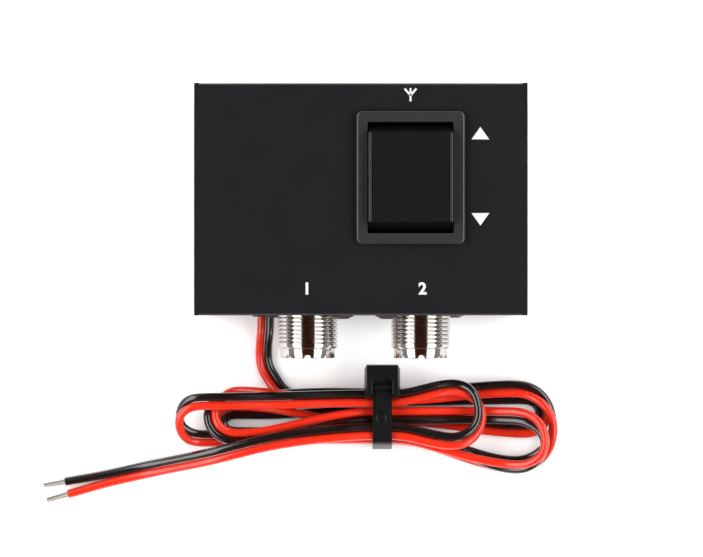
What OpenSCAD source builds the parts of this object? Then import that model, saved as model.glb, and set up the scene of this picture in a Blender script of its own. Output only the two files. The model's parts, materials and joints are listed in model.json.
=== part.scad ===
// Antenna control unit: a folded sheet-metal box with a momentary rocker switch in its
// front panel, two threaded UHF sockets in one long wall and a twin lead tied in a hank.
// The box lies on its back cover. +Z points out of the front panel, +X runs along the
// panel and -Y points the way the sockets do. The origin is the middle of the back face.

/* [Box] */
// Width of the box, along the panel
body_w = 86; // [78:1:110]
// Height of the front panel, from the socket wall to the far wall
body_h = 60; // [58:1:80]
// Depth of the box, from the back face to the front panel
body_d = 38; // [38:1:50]
// Thickness of the folded sheet
sheet_t = 1.2; // [0.8:0.1:1.5]
// Outer radius of the folds
bend_r = 1.5; // [1.5:0.1:2]
// Width of each screw tab, measured from its wall
tab_w = 10; // [9:0.5:13]

/* [Cover screws] */
// Diameter of the screw thread
screw_d = 3; // [2.5:0.1:3.5]
// Diameter of the screw head
screw_head_d = 5.6; // [5:0.1:6.5]
// Height of the screw head
screw_head_h = 1.3; // [1:0.1:1.6]
// Length of the screw under its head
screw_len = 6; // [5:0.5:10]
// Height of the screws above the back face
screw_z = 10; // [8:0.5:14]
// Distance from the screws to the outside of the nearest long wall
screw_inset = 7; // [6:0.1:7.5]

/* [Rocker switch] */
// Middle of the switch, right of the panel's middle
switch_x = 12.8; // [10:0.1:15]
// Middle of the switch, above the panel's middle
switch_y = 5.5; // [5:0.1:8]
// Outer width of the bezel
bezel_w = 28; // [27:0.1:30]
// Outer height of the bezel
bezel_h = 34.2; // [33:0.1:36]
// How far the bezel stands out of the panel
bezel_t = 2; // [1.5:0.1:2.5]
// Width of the opening that the rocker fills
opening_w = 22.2; // [21:0.1:22.6]
// Height of the opening
opening_h = 28.6; // [28.6:0.1:29]
// Wall of the switch housing
housing_t = 1.2; // [1:0.1:1.4]
// Depth of the housing behind the panel's face
housing_d = 20; // [19.5:0.1:21]
// Height of the rocker's pressing face
face_h = 22.9; // [21:0.1:23.5]
// How far the pressing face stands above the bezel
face_up = 3; // [2.5:0.1:3.5]
// Angle that the rocker turns each way
rocker_turn = 10; // [8:1:10]
// Diameter of the rocker's trunnion pins
trunnion_d = 2.4; // [2:0.1:2.8]
// Depth of the trunnions behind the panel's face
trunnion_drop = 4; // [3.8:0.1:4.4]

/* [Sockets] */
// Middle of the left socket, from the panel's middle
left_jack_x = -13.9; // [-14.2:0.1:-13.7]
// Middle of the right socket, from the panel's middle
right_jack_x = 15.9; // [15:0.1:18]
// Depth of the socket axes behind the panel's face
jack_drop = 16; // [15:0.1:16]
// Outer diameter of the 5/8-24 thread
thread_d = 15.875; // [15.5:0.005:16]
// Length from the flange to the end of the thread
thread_len = 9.4; // [9:0.1:10]
// Diameter of the plain lip past the thread
lip_d = 14.4; // [14:0.1:14.6]
// Length from the flange to the end of the lip
jack_len = 12.6; // [12.4:0.1:13]
// Side of the square flange behind the wall
flange_w = 25.4; // [25:0.1:25.6]
// Thickness of the flange
flange_t = 1.6; // [1.4:0.1:1.8]
// Distance between the flange's holes
flange_pitch = 18.26; // [18:0.01:18.5]
// Diameter of the recess that takes the plug's sleeve
recess_d = 12.2; // [12:0.1:12.6]
// Depth of the recess
recess_len = 7.5; // [7:0.1:8]
// Bore of the centre contact
contact_bore_d = 4; // [3.9:0.05:4.1]
// Number of notches in the lip
notches = 8; // [4:1:8]

/* [Rivets] */
// Diameter of the rivet shanks
rivet_d = 3.2; // [3:0.1:3.4]
// Diameter of the rivet heads
rivet_head_d = 6; // [5.6:0.1:6.4]
// Height of the rivet heads
rivet_head_h = 1; // [0.8:0.1:1.2]

/* [Lead] */
// Outside diameter of one conductor's insulation
wire_d = 2.3; // [2:0.1:2.3]
// Where the lead leaves the socket wall, from the panel's middle
lead_x = -25.7; // [-27:0.1:-25.5]
// Height of the lead's hole above the back face
lead_z = 5.4; // [5.4:0.1:5.5]
// Bore of the grommet
grommet_bore_d = 4.8; // [4.7:0.1:5]
// Outside diameter of the grommet
grommet_d = 7.6; // [7.2:0.1:7.7]
// Gap kept between runs of the hank that cross
hank_gap = 0.8; // [0.6:0.1:1]

/* [Cable tie] */
// Width of the strap
strap_w = 5.2; // [4:0.1:6]
// Thickness of the strap
strap_t = 1.2; // [1:0.1:1.5]
// Width of the head
head_w = 8.4; // [7:0.1:9]
// Length of the head
head_len = 9.2; // [8:0.1:10]
// Height of the head
head_h = 6; // [5:0.1:7]
// How far the head reaches past the strap's back
head_rear = 5; // [4:0.1:6]

/* [Circuit board] */
// Width of the circuit board
board_w = 50; // [50:1:54]
// Height of the circuit board
board_h = 38; // [36:1:40]
// Thickness of the circuit board
board_t = 1.6; // [1:0.1:1.6]
// Gap between the switch housing and the circuit board
board_gap = 7; // [6.5:0.1:7.2]

/* [Hidden] */
$fn = 64;
// How far a cutting shape runs past the face that it cuts
cut = 1;
// Gap at seams, and in slots that parts pass through
seam = 0.05;
slot_gap = 0.1;
// Radial clearance of a pin that turns or slides in its hole
run_gap = 0.05;

enamel = "#242528";
nylon = "#1e1d1c";
nickel = "#c9c8c4";
brass = "#c8a75a";
steel = "#9b9da0";
red = "#f03a24";
black = "#17171a";

// Inside faces of the box
wall_y = body_h / 2 - sheet_t;
panel_z = body_d - sheet_t;
side_x = body_w / 2 - sheet_t;
// The folded walls stop short of the cover's sides and of its rounded folds
fold_half_w = side_x - seam;
fold_low = sheet_t + 0.35;
tab_low = fold_low + 2;
tab_high = panel_z - 3;

// Heights in the switch, from the back face
bezel_bevel = 0.6;
bezel_top = body_d + bezel_t;
housing_low = body_d - housing_d;
housing_w = opening_w + 2 * housing_t;
housing_h = opening_h + 2 * housing_t;
housing_corner = 0.8;
floor_t = 1.5;
floor_z = housing_low + floor_t;
trunnion_z = body_d - trunnion_drop;
trunnion_r = trunnion_d / 2;

// The rocker, seen from its side: half lengths and heights about the trunnions
rocker_side_gap = 0.3;
rocker_w = opening_w - 2 * rocker_side_gap;
rocker_half = opening_h / 2 - 0.7;
face_z = bezel_top + face_up - trunnion_z;
shoulder_z = 3;
skirt_z = -1.5;
belly_z = -3;
belly_half = 4;
rocker_wall = 1.6;
face_dip = 0.5;

// Plungers and see-saw contacts of the two switch poles
pole_half = 5.2;
plunger_r = 1.5;
plunger_tip_r = 1;
post_r = 2.6;
post_low = -6;
post_bore_top = face_z - rocker_wall - 0.6;
plunger_top = -2;
tip_low = -10;
contact_gap = 0.3;
contact_t = 0.6;
contact_w = 4;
contact_half = 8.6;
button_r = 1.2;
button_h = 0.8;
button_at = 7.5;
contact_ratio = 0.7;
contact_turn = rocker_turn * contact_ratio;
contact_top = trunnion_z + tip_low - contact_gap;
contact_z = contact_top - contact_t;
button_z = contact_z - button_h;
outer_terminal_top = button_z - (button_at + button_r) * sin(contact_turn) - slot_gap;
middle_terminal_top = contact_z - 0.15;
terminal_t = 0.8;
terminal_w = 4;
terminal_tail_w = 3;
terminal_below = 1.5;

// Circuit board and what stands on it
board_top = housing_low - board_gap;
board_z = board_top - board_t;
board_x = switch_x - 9.8;
board_y = switch_y;

// Sockets, measured along their axes from the flange's front face
jack_z = body_d - jack_drop;
thread_r = thread_d / 2;
lip_r = lip_d / 2;
lip_cone = 0.6;
// Run-out of the thread inside the wall's hole
neck_r = thread_r - 0.4;
recess_r = recess_d / 2;
shoulder = jack_len - recess_len;
wall_hole_gap = 0.22;
insulator_r = 5.2;
insulator_back = flange_t + 2.2;
contact_bore_r = contact_bore_d / 2;
contact_wall = 0.9;
contact_r = contact_bore_r + contact_wall;
contact_bore_len = 9;
collar_r = 3.6;
collar_t = 1.2;
cup_r = 2;
cup_bore_r = 1.3;
cup_bore_len = 4.5;
cup_len = 6;
contact_back = insulator_back + collar_t;
cup_end = contact_back + cup_len;
slot_w = 0.4;
slot_len = 5;
notch_r = 0.8;
notch_deep = 0.9;
rivet_r = rivet_d / 2;
rivet_tail_r = 2.3;
rivet_tail_len = 2;
hole_gap = 0.05;
lug_t = 0.5;

// Lead, grommet and the tie inside the wall
wire_r = wire_d / 2;
pair_gap = 0.05;
pair_half = wire_r + pair_gap / 2;
grommet_lip = 0.8;
groove_r = grommet_d / 2 - 0.75;

// Free lead from the grommet to the hank: x, y, height, roll, half of the pair's spacing.
// The roll is 0 where red lies left of the way that the cord runs, 90 where it is on top.
lead_route = [
    [-25.7, -30.8, 5.4, 180, 1.175], [-25.7, -32.5, 5.4, 180, 1.175],
    [-25.7, -34.2, 5.3, 180, 1.175], [-26.2, -38, 3.6, 180, 1.175],
    [-26.4, -42, 1.7, 180, 1.175], [-25.95, -45.05, 1.15, 180, 1.175],
    [-25.325, -46.025, 1.15, 180, 1.175], [-24.7, -47, 1.15, 180, 1.175]
];
// Free end of the lead, whose conductors part before the stripped tips
tail_route = [
    [-62.1, -73.54, 1.15, 360, 1.175], [-64.1, -74, 1.15, 360, 1.175],
    [-66.1, -74.46, 1.15, 360, 1.175], [-69.5, -75.24, 1.15, 360, 1.2],
    [-73, -76.04, 1.15, 360, 1.35], [-76.5, -76.85, 1.15, 360, 1.55],
    [-78.4, -77.28, 1.15, 360, 1.65], [-80.3, -77.72, 1.15, 360, 1.75]
];
tip_len = 6;

// Hank: eight passes under the tie, with y and roll, and the seven loops between them.
// A loop has its side, the middle of its end, the end's half length and half width, its
// layer going out and coming back, and its roll before, in and after the turn.
tie_x = 5.9;
tie_y = -57.7;
pass_half = 3;
pass_y = [4.8, -0.4, -5.6, 5.2, 0, -5.2, 4.9, -4];
pass_roll = [0, 0, 180, 0, 0, 0, 180, 360];
loops = [
    [1, 39.9, 0.5, 4.6, 4.6, 0, 0, 0, 0, 0],
    [-1, 41.5, -2.3, 3.4, 3.4, 0, 0, 180, 180, 180],
    [1, 37, -3.2, 9.6, 10.5, 1, 1, 180, 90, 0],
    [-1, 39.5, 0.2, 7, 6.1, 2, 2, 120, 20, 0],
    [1, 36.4, -7, 7.6, 7, 2, 2, 0, 90, 130],
    [-1, 49.9, -1.1, 5.2, 5.2, 1, 3, 0, 90, 180],
    [1, 19.4, 0.5, 7.3, 7.3, 4, 4, 180, 300, 360]
];
side_steps = 9;
turn_steps = 14;
// Where the lead comes into the hank and where its free end leaves it: x, y, layer, roll
hank_start = [
    [-30.6, 10.7, 0, 180], [-29.35, 8.75, 0, 180], [-28.1, 6.8, 0, 150], [-25.5, 5.7, 0, 110],
    [-21, 5.2, 0, 50], [-16, 5, 0, 10], [-10, 4.8, 0, 0], [-pass_half, 4.8, 0, 0]
];
hank_end = [
    [-pass_half, -4, 5, 360], [-9, -4.2, 5, 360], [-18, -5, 5, 360], [-28, -6.4, 5, 360],
    [-37, -8.4, 5, 360], [-46, -10.8, 5, 360], [-53, -12.4, 5, 360],
    [-60, -14, 5, 360], [-64, -14.92, 5, 360], [-66, -15.38, 5, 360], [-68, -15.84, 5, 360]
];
// How steeply a run climbs, and the length over which its crest rounds off
climb = 0.5;
crest = 4;
// Runs that are further apart than this, seen from above, lie side by side
side_gap = 0.5;
// Runs nearer than this along the cord are neighbours and don't cross
near_along = 12;
strap_slack = 0.25;
// Half length over which the strap keeps the lowest runs off the table
lifted_half = 8;

// Rectangle with round corners, centred
module round_rect(w, h, r) {
    square([w - 2 * r, h], center = true);
    square([w, h - 2 * r], center = true);
    for (x = [-1, 1], y = [-1, 1])
        translate([x * (w / 2 - r), y * (h / 2 - r)]) circle(r);
}

// Upright block with round vertical edges, standing on z = 0
module round_block(w, h, r, tall) {
    linear_extrude(tall) round_rect(w, h, r);
}

// Outline of a folded sheet: two walls joined by a web at the top, round at the folds
module channel_outline(w, tall, r) {
    square([w, tall - r], center = false);
    translate([r, 0]) square([w - 2 * r, tall]);
    for (x = [r, w - r]) translate([x, tall - r]) circle(r);
}

module channel(w, tall, wall, r) {
    inner_r = max(r - wall, 0.1);
    difference() {
        translate([-w / 2, 0]) channel_outline(w, tall, r);
        translate([wall - w / 2, -cut])
            channel_outline(w - 2 * wall, tall - wall + cut, inner_r);
    }
}

// Places its child in the socket wall: z = 0 is the wall's inside face, +z leads outwards
module in_socket_wall(x, z) {
    translate([x, -wall_y, z]) rotate([90, 0, 0]) children();
}

// Two of the four flange holes are riveted: the inner one at the front, the outer at the back
module rivet_places(toward) {
    for (side = [-1, 1])
        translate([side * toward, side, 0] * flange_pitch / 2) children();
}

// Small helpers for swept wires
function unit(v) = v / norm(v);
function headings(path) = [
    for (i = [0 : len(path) - 1])
        unit(path[min(i + 1, len(path) - 1)] - path[max(i - 1, 0)])
];
function squared(n, h) = unit(n - (n * h) * h);
function first_normal(h) = squared(abs(h[2]) < 0.9 ? [0, 0, 1] : [1, 0, 0], h);
// Normals carried along the route without twist
function carried(h) = [
    for (i = 0, n = first_normal(h[0]); i < len(h);
         i = i + 1, n = i < len(h) ? squared(n, h[i]) : n) n
];
// Catmull-Rom curve through hand-chosen points, with a number of steps between each two
function knot(p, i) = p[max(0, min(len(p) - 1, i))];
function spline_point(a, b, c, d, t) =
    0.5 * (2 * b + (c - a) * t + (2 * a - 5 * b + 4 * c - d) * t * t
           + (3 * b - a - 3 * c + d) * t * t * t);
function smooth(p, steps) = concat(
    [for (i = [0 : len(p) - 2], s = [0 : steps - 1])
        spline_point(knot(p, i - 1), knot(p, i), knot(p, i + 1), knot(p, i + 2), s / steps)],
    [p[len(p) - 1]]);

// One unbroken tube along a route, closed at both ends
module wire(path, r, sides = 8) {
    h = headings(path);
    n = carried(h);
    rings = len(path);
    last = (rings - 1) * sides;
    points = [for (i = [0 : rings - 1], k = [0 : sides - 1])
        let (turn = 360 * (k + 0.5) / sides, b = cross(h[i], n[i]))
        path[i] + r * (cos(turn) * n[i] + sin(turn) * b)];
    walls = [for (i = [0 : rings - 2], k = [0 : sides - 1])
        let (a = i * sides + k, b = i * sides + (k + 1) % sides)
        each [[a, a + sides, b], [b, a + sides, b + sides]]];
    ends = [for (k = [1 : sides - 2])
        each [[0, k, k + 1], [last, last + k + 1, last + k]]];
    polyhedron(points, concat(walls, ends));
}

// Front panel, far wall and socket wall, folded from one sheet, with four screw tabs
module front_shell() {
    color(enamel) difference() {
        union() {
            translate([0, 0, fold_low]) rotate([90, 0, 90])
                linear_extrude(2 * fold_half_w, center = true)
                    channel(body_h, body_d - fold_low, sheet_t, sheet_t);
            translate([-body_w / 2, -body_h / 2, panel_z]) cube([body_w, body_h, sheet_t]);
            for (x = [-1, 1], y = [-1, 1]) screw_tab(x, y);
        }
        for (y = [-1, 1]) scale([1, y, 1]) panel_fold_cut();
        for (x = [-1, 1], y = [-1, 1]) scale([x, y, 1]) tab_fold_cut();
        translate([switch_x, switch_y, panel_z - cut])
            round_block(housing_w + 2 * slot_gap, housing_h + 2 * slot_gap,
                        housing_corner, sheet_t + 2 * cut);
        for (side = [[left_jack_x, 1], [right_jack_x, -1]])
            in_socket_wall(side[0], jack_z) translate([0, 0, -cut]) {
                cylinder(r = thread_r + wall_hole_gap, h = sheet_t + 2 * cut);
                rivet_places(side[1]) cylinder(r = rivet_r + hole_gap, h = sheet_t + 2 * cut);
            }
        in_socket_wall(lead_x, lead_z) translate([0, 0, -cut])
            cylinder(r = groove_r + hole_gap, h = sheet_t + 2 * cut);
        screw_holes(screw_d / 2 + hole_gap);
    }
}

module screw_tab(x, y) {
    translate([x * (fold_half_w - sheet_t / 2), y * (body_h / 2 - (tab_w + sheet_t) / 2), tab_low])
        translate([-sheet_t / 2, -(tab_w + sheet_t) / 2, 0])
            cube([sheet_t, tab_w + sheet_t, tab_high - tab_low]);
}

// What the fold between the panel and a long wall takes off the square edge
module panel_fold_cut() {
    translate([0, body_h / 2 - bend_r, body_d - bend_r]) rotate([90, 0, 90])
        linear_extrude(2 * fold_half_w, center = true) corner_outline();
}

// The same for the fold between a long wall and a screw tab
module tab_fold_cut() {
    translate([fold_half_w - bend_r, body_h / 2 - bend_r, tab_low])
        linear_extrude(tab_high - tab_low) corner_outline();
}

module corner_outline() {
    difference() {
        square(bend_r + cut);
        circle(bend_r);
    }
}

// Holes for the four cover screws, right through from side to side
module screw_holes(r) {
    for (y = [-1, 1])
        translate([0, y * (body_h / 2 - screw_inset), screw_z])
            rotate([0, 90, 0]) cylinder(r = r, h = body_w + 2 * cut, center = true);
}

// Back and both side walls, folded from one sheet
module back_cover() {
    color(enamel) difference() {
        translate([0, 0, panel_z]) rotate([90, 0, 0]) mirror([0, 1, 0])
            linear_extrude(body_h, center = true)
                channel(body_w, panel_z, sheet_t, bend_r);
        screw_holes(screw_d / 2 + hole_gap);
    }
}

module cover_screws() {
    color(enamel)
        for (x = [-1, 1], y = [-1, 1])
            translate([x * body_w / 2, y * (body_h / 2 - screw_inset), screw_z])
                rotate([0, x * 90, 0]) pan_screw(screw_len);
}

// Screw with its head's seat at z = 0 and its thread towards -z
module pan_screw(length) {
    rim = 0.5;
    crown_r = (pow(screw_head_d / 2, 2) + pow(screw_head_h - rim, 2)) / (2 * (screw_head_h - rim));
    difference() {
        union() {
            translate([0, 0, -length]) cylinder(d = screw_d, h = length);
            intersection() {
                cylinder(d = screw_head_d, h = screw_head_h);
                translate([0, 0, screw_head_h - crown_r]) sphere(crown_r);
            }
        }
        for (turn = [0, 90]) rotate(turn)
            translate([-1.4, -0.35, 0.5]) cube([2.8, 0.7, screw_head_h]);
    }
}

// Bezel and box of the switch, moulded in one piece
module switch_housing() {
    color(nylon) translate([switch_x, switch_y, 0]) difference() {
        union() {
            translate([0, 0, body_d]) hull() {
                round_block(bezel_w, bezel_h, 1.5, bezel_t - bezel_bevel, $fn = 32);
                round_block(bezel_w - 2 * bezel_bevel, bezel_h - 2 * bezel_bevel,
                            1, bezel_t, $fn = 32);
            }
            translate([0, 0, housing_low])
                round_block(housing_w, housing_h, housing_corner, housing_d + bezel_t / 2);
            for (turn = [0, 180]) rotate(turn) snap_wedge();
        }
        translate([0, 0, floor_z]) round_block(opening_w, opening_h, 0.5, body_d);
        translate([0, 0, trunnion_z]) rotate([0, 90, 0])
            cylinder(r = trunnion_r + run_gap, h = housing_w + 2 * cut, center = true);
        for (pole = [-1, 1], at = [-1, 0, 1])
            translate([pole * pole_half, at * button_at, housing_low + floor_t / 2])
                cube([terminal_w + 2 * seam, terminal_t + 2 * seam, floor_t + 2 * cut], center = true);
    }
}

// Wedge that snaps under the panel when the switch is pushed in
module snap_wedge() {
    wedge_w = 12;
    wedge_tall = 8;
    wedge_out = 0.9;
    translate([0, housing_h / 2, panel_z - slot_gap]) rotate([90, 0, 90])
        linear_extrude(wedge_w, center = true)
            polygon([[-0.5, 0], [wedge_out, 0], [wedge_out, -0.6], [0, -wedge_tall], [-0.5, -wedge_tall]]);
}

module rocker_outline(wall) {
    half = rocker_half - wall;
    top = face_z - wall;
    face_half = face_h / 2 - wall * 0.6;
    polygon([
        [-half, shoulder_z], [-face_half, top], [face_half, top], [half, shoulder_z],
        [half - 0.4, skirt_z - cut * min(wall, 1)], [belly_half, belly_z - cut * min(wall, 1)],
        [-belly_half, belly_z - cut * min(wall, 1)], [0.4 - half, skirt_z - cut * min(wall, 1)]
    ]);
}

// Hollow rocker with a dished face, two spring posts and two trunnion pins
module rocker() {
    dish_r = (pow(face_h / 2, 2) + pow(face_dip, 2)) / (2 * face_dip);
    edge = 0.5;
    color(nylon) translate([switch_x, switch_y, trunnion_z]) difference() {
        union() {
            difference() {
                rotate([90, 0, 90]) linear_extrude(rocker_w, center = true) rocker_outline(0);
                rotate([90, 0, 90])
                    linear_extrude(rocker_w - 2 * rocker_wall, center = true)
                        rocker_outline(rocker_wall);
            }
            for (pole = [-1, 1]) translate([pole * pole_half, 0, post_low])
                cylinder(r = post_r, h = face_z - rocker_wall / 2 - post_low);
            for (side = [-1, 1]) rotate([0, side * 90, 0]) {
                translate([0, 0, pole_half])
                    cylinder(r = trunnion_r + cut, h = (rocker_w - rocker_wall) / 2 - pole_half);
                translate([0, 0, rocker_w / 2 - rocker_wall])
                    cylinder(r = trunnion_r, h = rocker_wall + rocker_side_gap + housing_t);
            }
        }
        translate([0, 0, face_z - face_dip + dish_r]) rotate([0, 90, 0])
            cylinder(r = dish_r, h = rocker_w - 2 * edge, center = true, $fn = 360);
        for (pole = [-1, 1]) translate([pole * pole_half, 0, post_low - cut])
            cylinder(r = plunger_r + run_gap, h = post_bore_top + cut - post_low);
        for (side = [-1, 1]) translate([side * rocker_w / 2, 0, face_z]) rotate([0, 45, 0])
            cube([edge, opening_h, edge], center = true);
    }
}

module rocker_plungers() {
    color(brass) translate([switch_x, switch_y, trunnion_z])
        for (pole = [-1, 1]) translate([pole * pole_half, 0, 0]) {
            translate([0, 0, tip_low + plunger_tip_r + 1.5])
                cylinder(r = plunger_r, h = plunger_top - tip_low - plunger_tip_r - 1.5);
            translate([0, 0, tip_low + plunger_tip_r])
                cylinder(r1 = plunger_tip_r, r2 = plunger_r, h = 1.5);
            translate([0, 0, tip_low + plunger_tip_r]) sphere(plunger_tip_r);
        }
}

// Springs that press the plungers down, one in each post
module plunger_springs() {
    coils = 5;
    steps = 10;
    strand_r = 0.25;
    low = plunger_top + strand_r + seam;
    high = post_bore_top - strand_r - seam;
    coil_r = plunger_r - strand_r - seam;
    color(steel) translate([switch_x, switch_y, trunnion_z])
        for (pole = [-1, 1]) translate([pole * pole_half, 0, 0])
            wire([for (i = [0 : coils * steps])
                let (turn = 360 * i / steps, up = i / (coils * steps))
                [coil_r * cos(turn), coil_r * sin(turn), low + (high - low) * up]], strand_r, 6);
}

// See-saw contact with a button under each end
module see_saw(pole) {
    color(brass) translate([switch_x + pole * pole_half, switch_y, contact_z]) {
        translate([-contact_w / 2, -contact_half, 0]) cube([contact_w, 2 * contact_half, contact_t]);
        for (at = [-1, 1]) translate([0, at * (button_at - 0.1), -button_h])
            cylinder(r = button_r, h = button_h + contact_t / 2);
    }
}

module left_contact() {
    see_saw(-1);
}

module right_contact() {
    see_saw(1);
}

// Six blades: shoulders stand on the circuit board and tails go through it
module switch_terminals() {
    color(brass) translate([switch_x, switch_y, 0])
        for (pole = [-1, 1], at = [-1, 0, 1]) {
            top = at == 0 ? middle_terminal_top : outer_terminal_top;
            translate([pole * pole_half, at * button_at, 0]) {
                translate([-terminal_w / 2, -terminal_t / 2, board_top])
                    cube([terminal_w, terminal_t, top - board_top]);
                translate([-terminal_tail_w / 2, -terminal_t / 2, board_z - terminal_below])
                    cube([terminal_tail_w, terminal_t, board_t + terminal_below + cut]);
            }
        }
}

// Threaded shell with a square flange, in the frame of the socket wall
module jack_shell(x) {
    color(nickel) in_socket_wall(x, jack_z) difference() {
        union() {
            translate([0, 0, -flange_t]) round_block(flange_w, flange_w, 1.2, flange_t);
            translate([0, 0, -flange_t]) cylinder(r = neck_r, h = flange_t + thread_len);
            translate([0, 0, sheet_t]) cylinder(r = thread_r, h = thread_len - sheet_t);
            translate([0, 0, thread_len]) cylinder(r1 = thread_r, r2 = lip_r, h = lip_cone);
            translate([0, 0, thread_len]) cylinder(r = lip_r, h = jack_len - thread_len);
        }
        translate([0, 0, shoulder]) cylinder(r = recess_r, h = recess_len + cut);
        translate([0, 0, -flange_t - cut])
            cylinder(r = insulator_r, h = flange_t + shoulder + 2 * cut);
        for (sx = [-1, 1], sy = [-1, 1])
            translate([sx * flange_pitch / 2, sy * flange_pitch / 2, -flange_t - cut])
                cylinder(r = rivet_r + hole_gap, h = flange_t + 2 * cut);
        for (i = [0 : notches - 1]) rotate(360 * i / notches) lip_notch();
    }
}

// Round-bottomed notch across the lip's wall
module lip_notch() {
    bottom = jack_len - notch_deep + notch_r;
    translate([0, recess_r - cut, bottom]) rotate([-90, 0, 0])
        cylinder(r = notch_r, h = lip_r - recess_r + 2 * cut);
    translate([-notch_r, recess_r - cut, bottom])
        cube([2 * notch_r, lip_r - recess_r + 2 * cut, notch_deep + cut]);
}

module jack_insulator(x) {
    color("#efe9dc") in_socket_wall(x, jack_z) difference() {
        translate([0, 0, -insulator_back])
            cylinder(r = insulator_r - hole_gap, h = insulator_back + shoulder);
        translate([0, 0, -insulator_back - cut])
            cylinder(r = contact_r + hole_gap, h = insulator_back + shoulder + 2 * cut);
    }
}

// Slotted centre contact with a solder cup at the back
module jack_contact(x) {
    color(brass) in_socket_wall(x, jack_z) difference() {
        union() {
            translate([0, 0, -contact_back]) cylinder(r = contact_r, h = contact_back + shoulder);
            translate([0, 0, -contact_back]) cylinder(r = collar_r, h = collar_t);
            translate([0, 0, -cup_end]) cylinder(r = cup_r, h = cup_len + collar_t);
        }
        translate([0, 0, shoulder - contact_bore_len])
            cylinder(r = contact_bore_r, h = contact_bore_len + cut);
        translate([0, 0, -cup_end - cut]) cylinder(r = cup_bore_r, h = cup_bore_len + cut);
        for (turn = [45, 135]) rotate(turn)
            translate([-contact_r - cut, -slot_w / 2, shoulder - slot_len])
                cube([2 * contact_r + 2 * cut, slot_w, slot_len + cut]);
    }
}

// Blind rivet: head outside the wall, set tail behind the flange
module rivet(grip) {
    color(enamel) {
        rotate_extrude() polygon([
            [0, sheet_t], [rivet_head_d / 2, sheet_t], [rivet_head_d / 2, sheet_t + rivet_head_h / 4],
            [rivet_head_d / 4, sheet_t + rivet_head_h], [0.8, sheet_t + rivet_head_h],
            [0.8, sheet_t + rivet_head_h - 0.4], [0, sheet_t + rivet_head_h - 0.4]]);
        translate([0, 0, -grip - cut]) cylinder(r = rivet_r, h = sheet_t + grip + cut + 0.2);
        translate([0, 0, -grip - rivet_tail_len])
            cylinder(r1 = rivet_r, r2 = rivet_tail_r, h = rivet_tail_len / 2);
        translate([0, 0, -grip - rivet_tail_len / 2])
            cylinder(r = rivet_tail_r, h = rivet_tail_len / 2);
    }
}

// The front rivet of the left socket also holds the ground lug
module left_jack_rivets() {
    in_socket_wall(left_jack_x, jack_z) {
        translate([1, 1, 0] * flange_pitch / 2) rivet(flange_t + lug_t);
        translate([-1, -1, 0] * flange_pitch / 2) rivet(flange_t);
    }
}

module right_jack_rivets() {
    in_socket_wall(right_jack_x, jack_z) rivet_places(-1) rivet(flange_t);
}

module left_jack_shell() {
    jack_shell(left_jack_x);
}

module left_jack_insulator() {
    jack_insulator(left_jack_x);
}

module left_jack_contact() {
    jack_contact(left_jack_x);
}

module right_jack_shell() {
    jack_shell(right_jack_x);
}

module right_jack_insulator() {
    jack_insulator(right_jack_x);
}

module right_jack_contact() {
    jack_contact(right_jack_x);
}

// Ring under a rivet with a tongue for the ground wire
lug_x = left_jack_x + flange_pitch / 2;
lug_z = jack_z + flange_pitch / 2;
lug_y = -wall_y + flange_t;
lug_tongue = 9;
module ground_lug() {
    ring_r = 3;
    tongue_w = 2.6;
    color(nickel) difference() {
        translate([lug_x, lug_y, lug_z]) rotate([-90, 0, 0]) union() {
            cylinder(r = ring_r, h = lug_t);
            translate([0, -tongue_w / 2, 0]) cube([lug_tongue - ring_r, tongue_w, lug_t]);
        }
        translate([lug_x, lug_y - cut, lug_z]) rotate([-90, 0, 0])
            cylinder(r = rivet_r + hole_gap, h = lug_t + 2 * cut);
    }
}

// Circuit board, with slots for the terminals and a hole for the regulator's screw
module circuit_board() {
    color("#2f6b3c") difference() {
        translate([board_x, board_y, board_z]) round_block(board_w, board_h, 1, board_t);
        for (pole = [-1, 1], at = [-1, 0, 1])
            translate([switch_x + pole * pole_half, switch_y + at * button_at, board_z + board_t / 2])
                cube([terminal_tail_w + 2 * slot_gap, terminal_t + 2 * slot_gap,
                      board_t + 2 * cut], center = true);
        translate([regulator_x, regulator_hole_y, board_z - cut])
            cylinder(r = screw_d / 2 + hole_gap, h = board_t + 2 * cut);
    }
}

// Regulator lying on the board, its tab held by a screw and a nut
regulator_x = board_x - board_w / 2 + 8;
regulator_y = board_y + board_h / 2 - 11.5;
regulator_w = 10;
tab_t = 1.3;
hole_up = 7.6;
regulator_hole_y = regulator_y + hole_up;
module voltage_regulator() {
    body_l = 9;
    body_t = 4.5;
    tab_l = 6.5 + 3;
    leg_w = 0.8;
    leg_t = 0.5;
    leg_z = 2.4;
    leg_out = 3;
    color("#1c1c1e") translate([regulator_x, regulator_y, board_top]) {
        difference() {
            union() {
                translate([-regulator_w / 2, -body_l / 2, 0]) cube([regulator_w, body_l, body_t]);
                translate([-regulator_w / 2, 0, 0]) cube([regulator_w, tab_l, tab_t]);
            }
            translate([0, regulator_hole_y - regulator_y, -cut])
                cylinder(d = screw_d + 0.6, h = tab_t + 2 * cut);
        }
        for (leg = [-1, 0, 1]) translate([leg * 2.54 - leg_w / 2, -body_l / 2 - leg_out, 0]) {
            cube([leg_w, leg_t, leg_z + leg_t]);
            translate([0, 0, leg_z]) cube([leg_w, leg_out + cut, leg_t]);
        }
    }
}

module regulator_screw() {
    screw_len = 6;
    color(steel) translate([regulator_x, regulator_hole_y, board_top + tab_t])
        pan_screw(screw_len);
}

module regulator_nut() {
    nut_w = 5.5;
    nut_t = 2.4;
    color(steel) translate([regulator_x, regulator_hole_y, board_z - nut_t]) difference() {
        cylinder(d = nut_w / cos(30), h = nut_t, $fn = 6);
        translate([0, 0, -cut]) cylinder(r = screw_d / 2 + hole_gap, h = nut_t + 2 * cut);
    }
}

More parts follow.
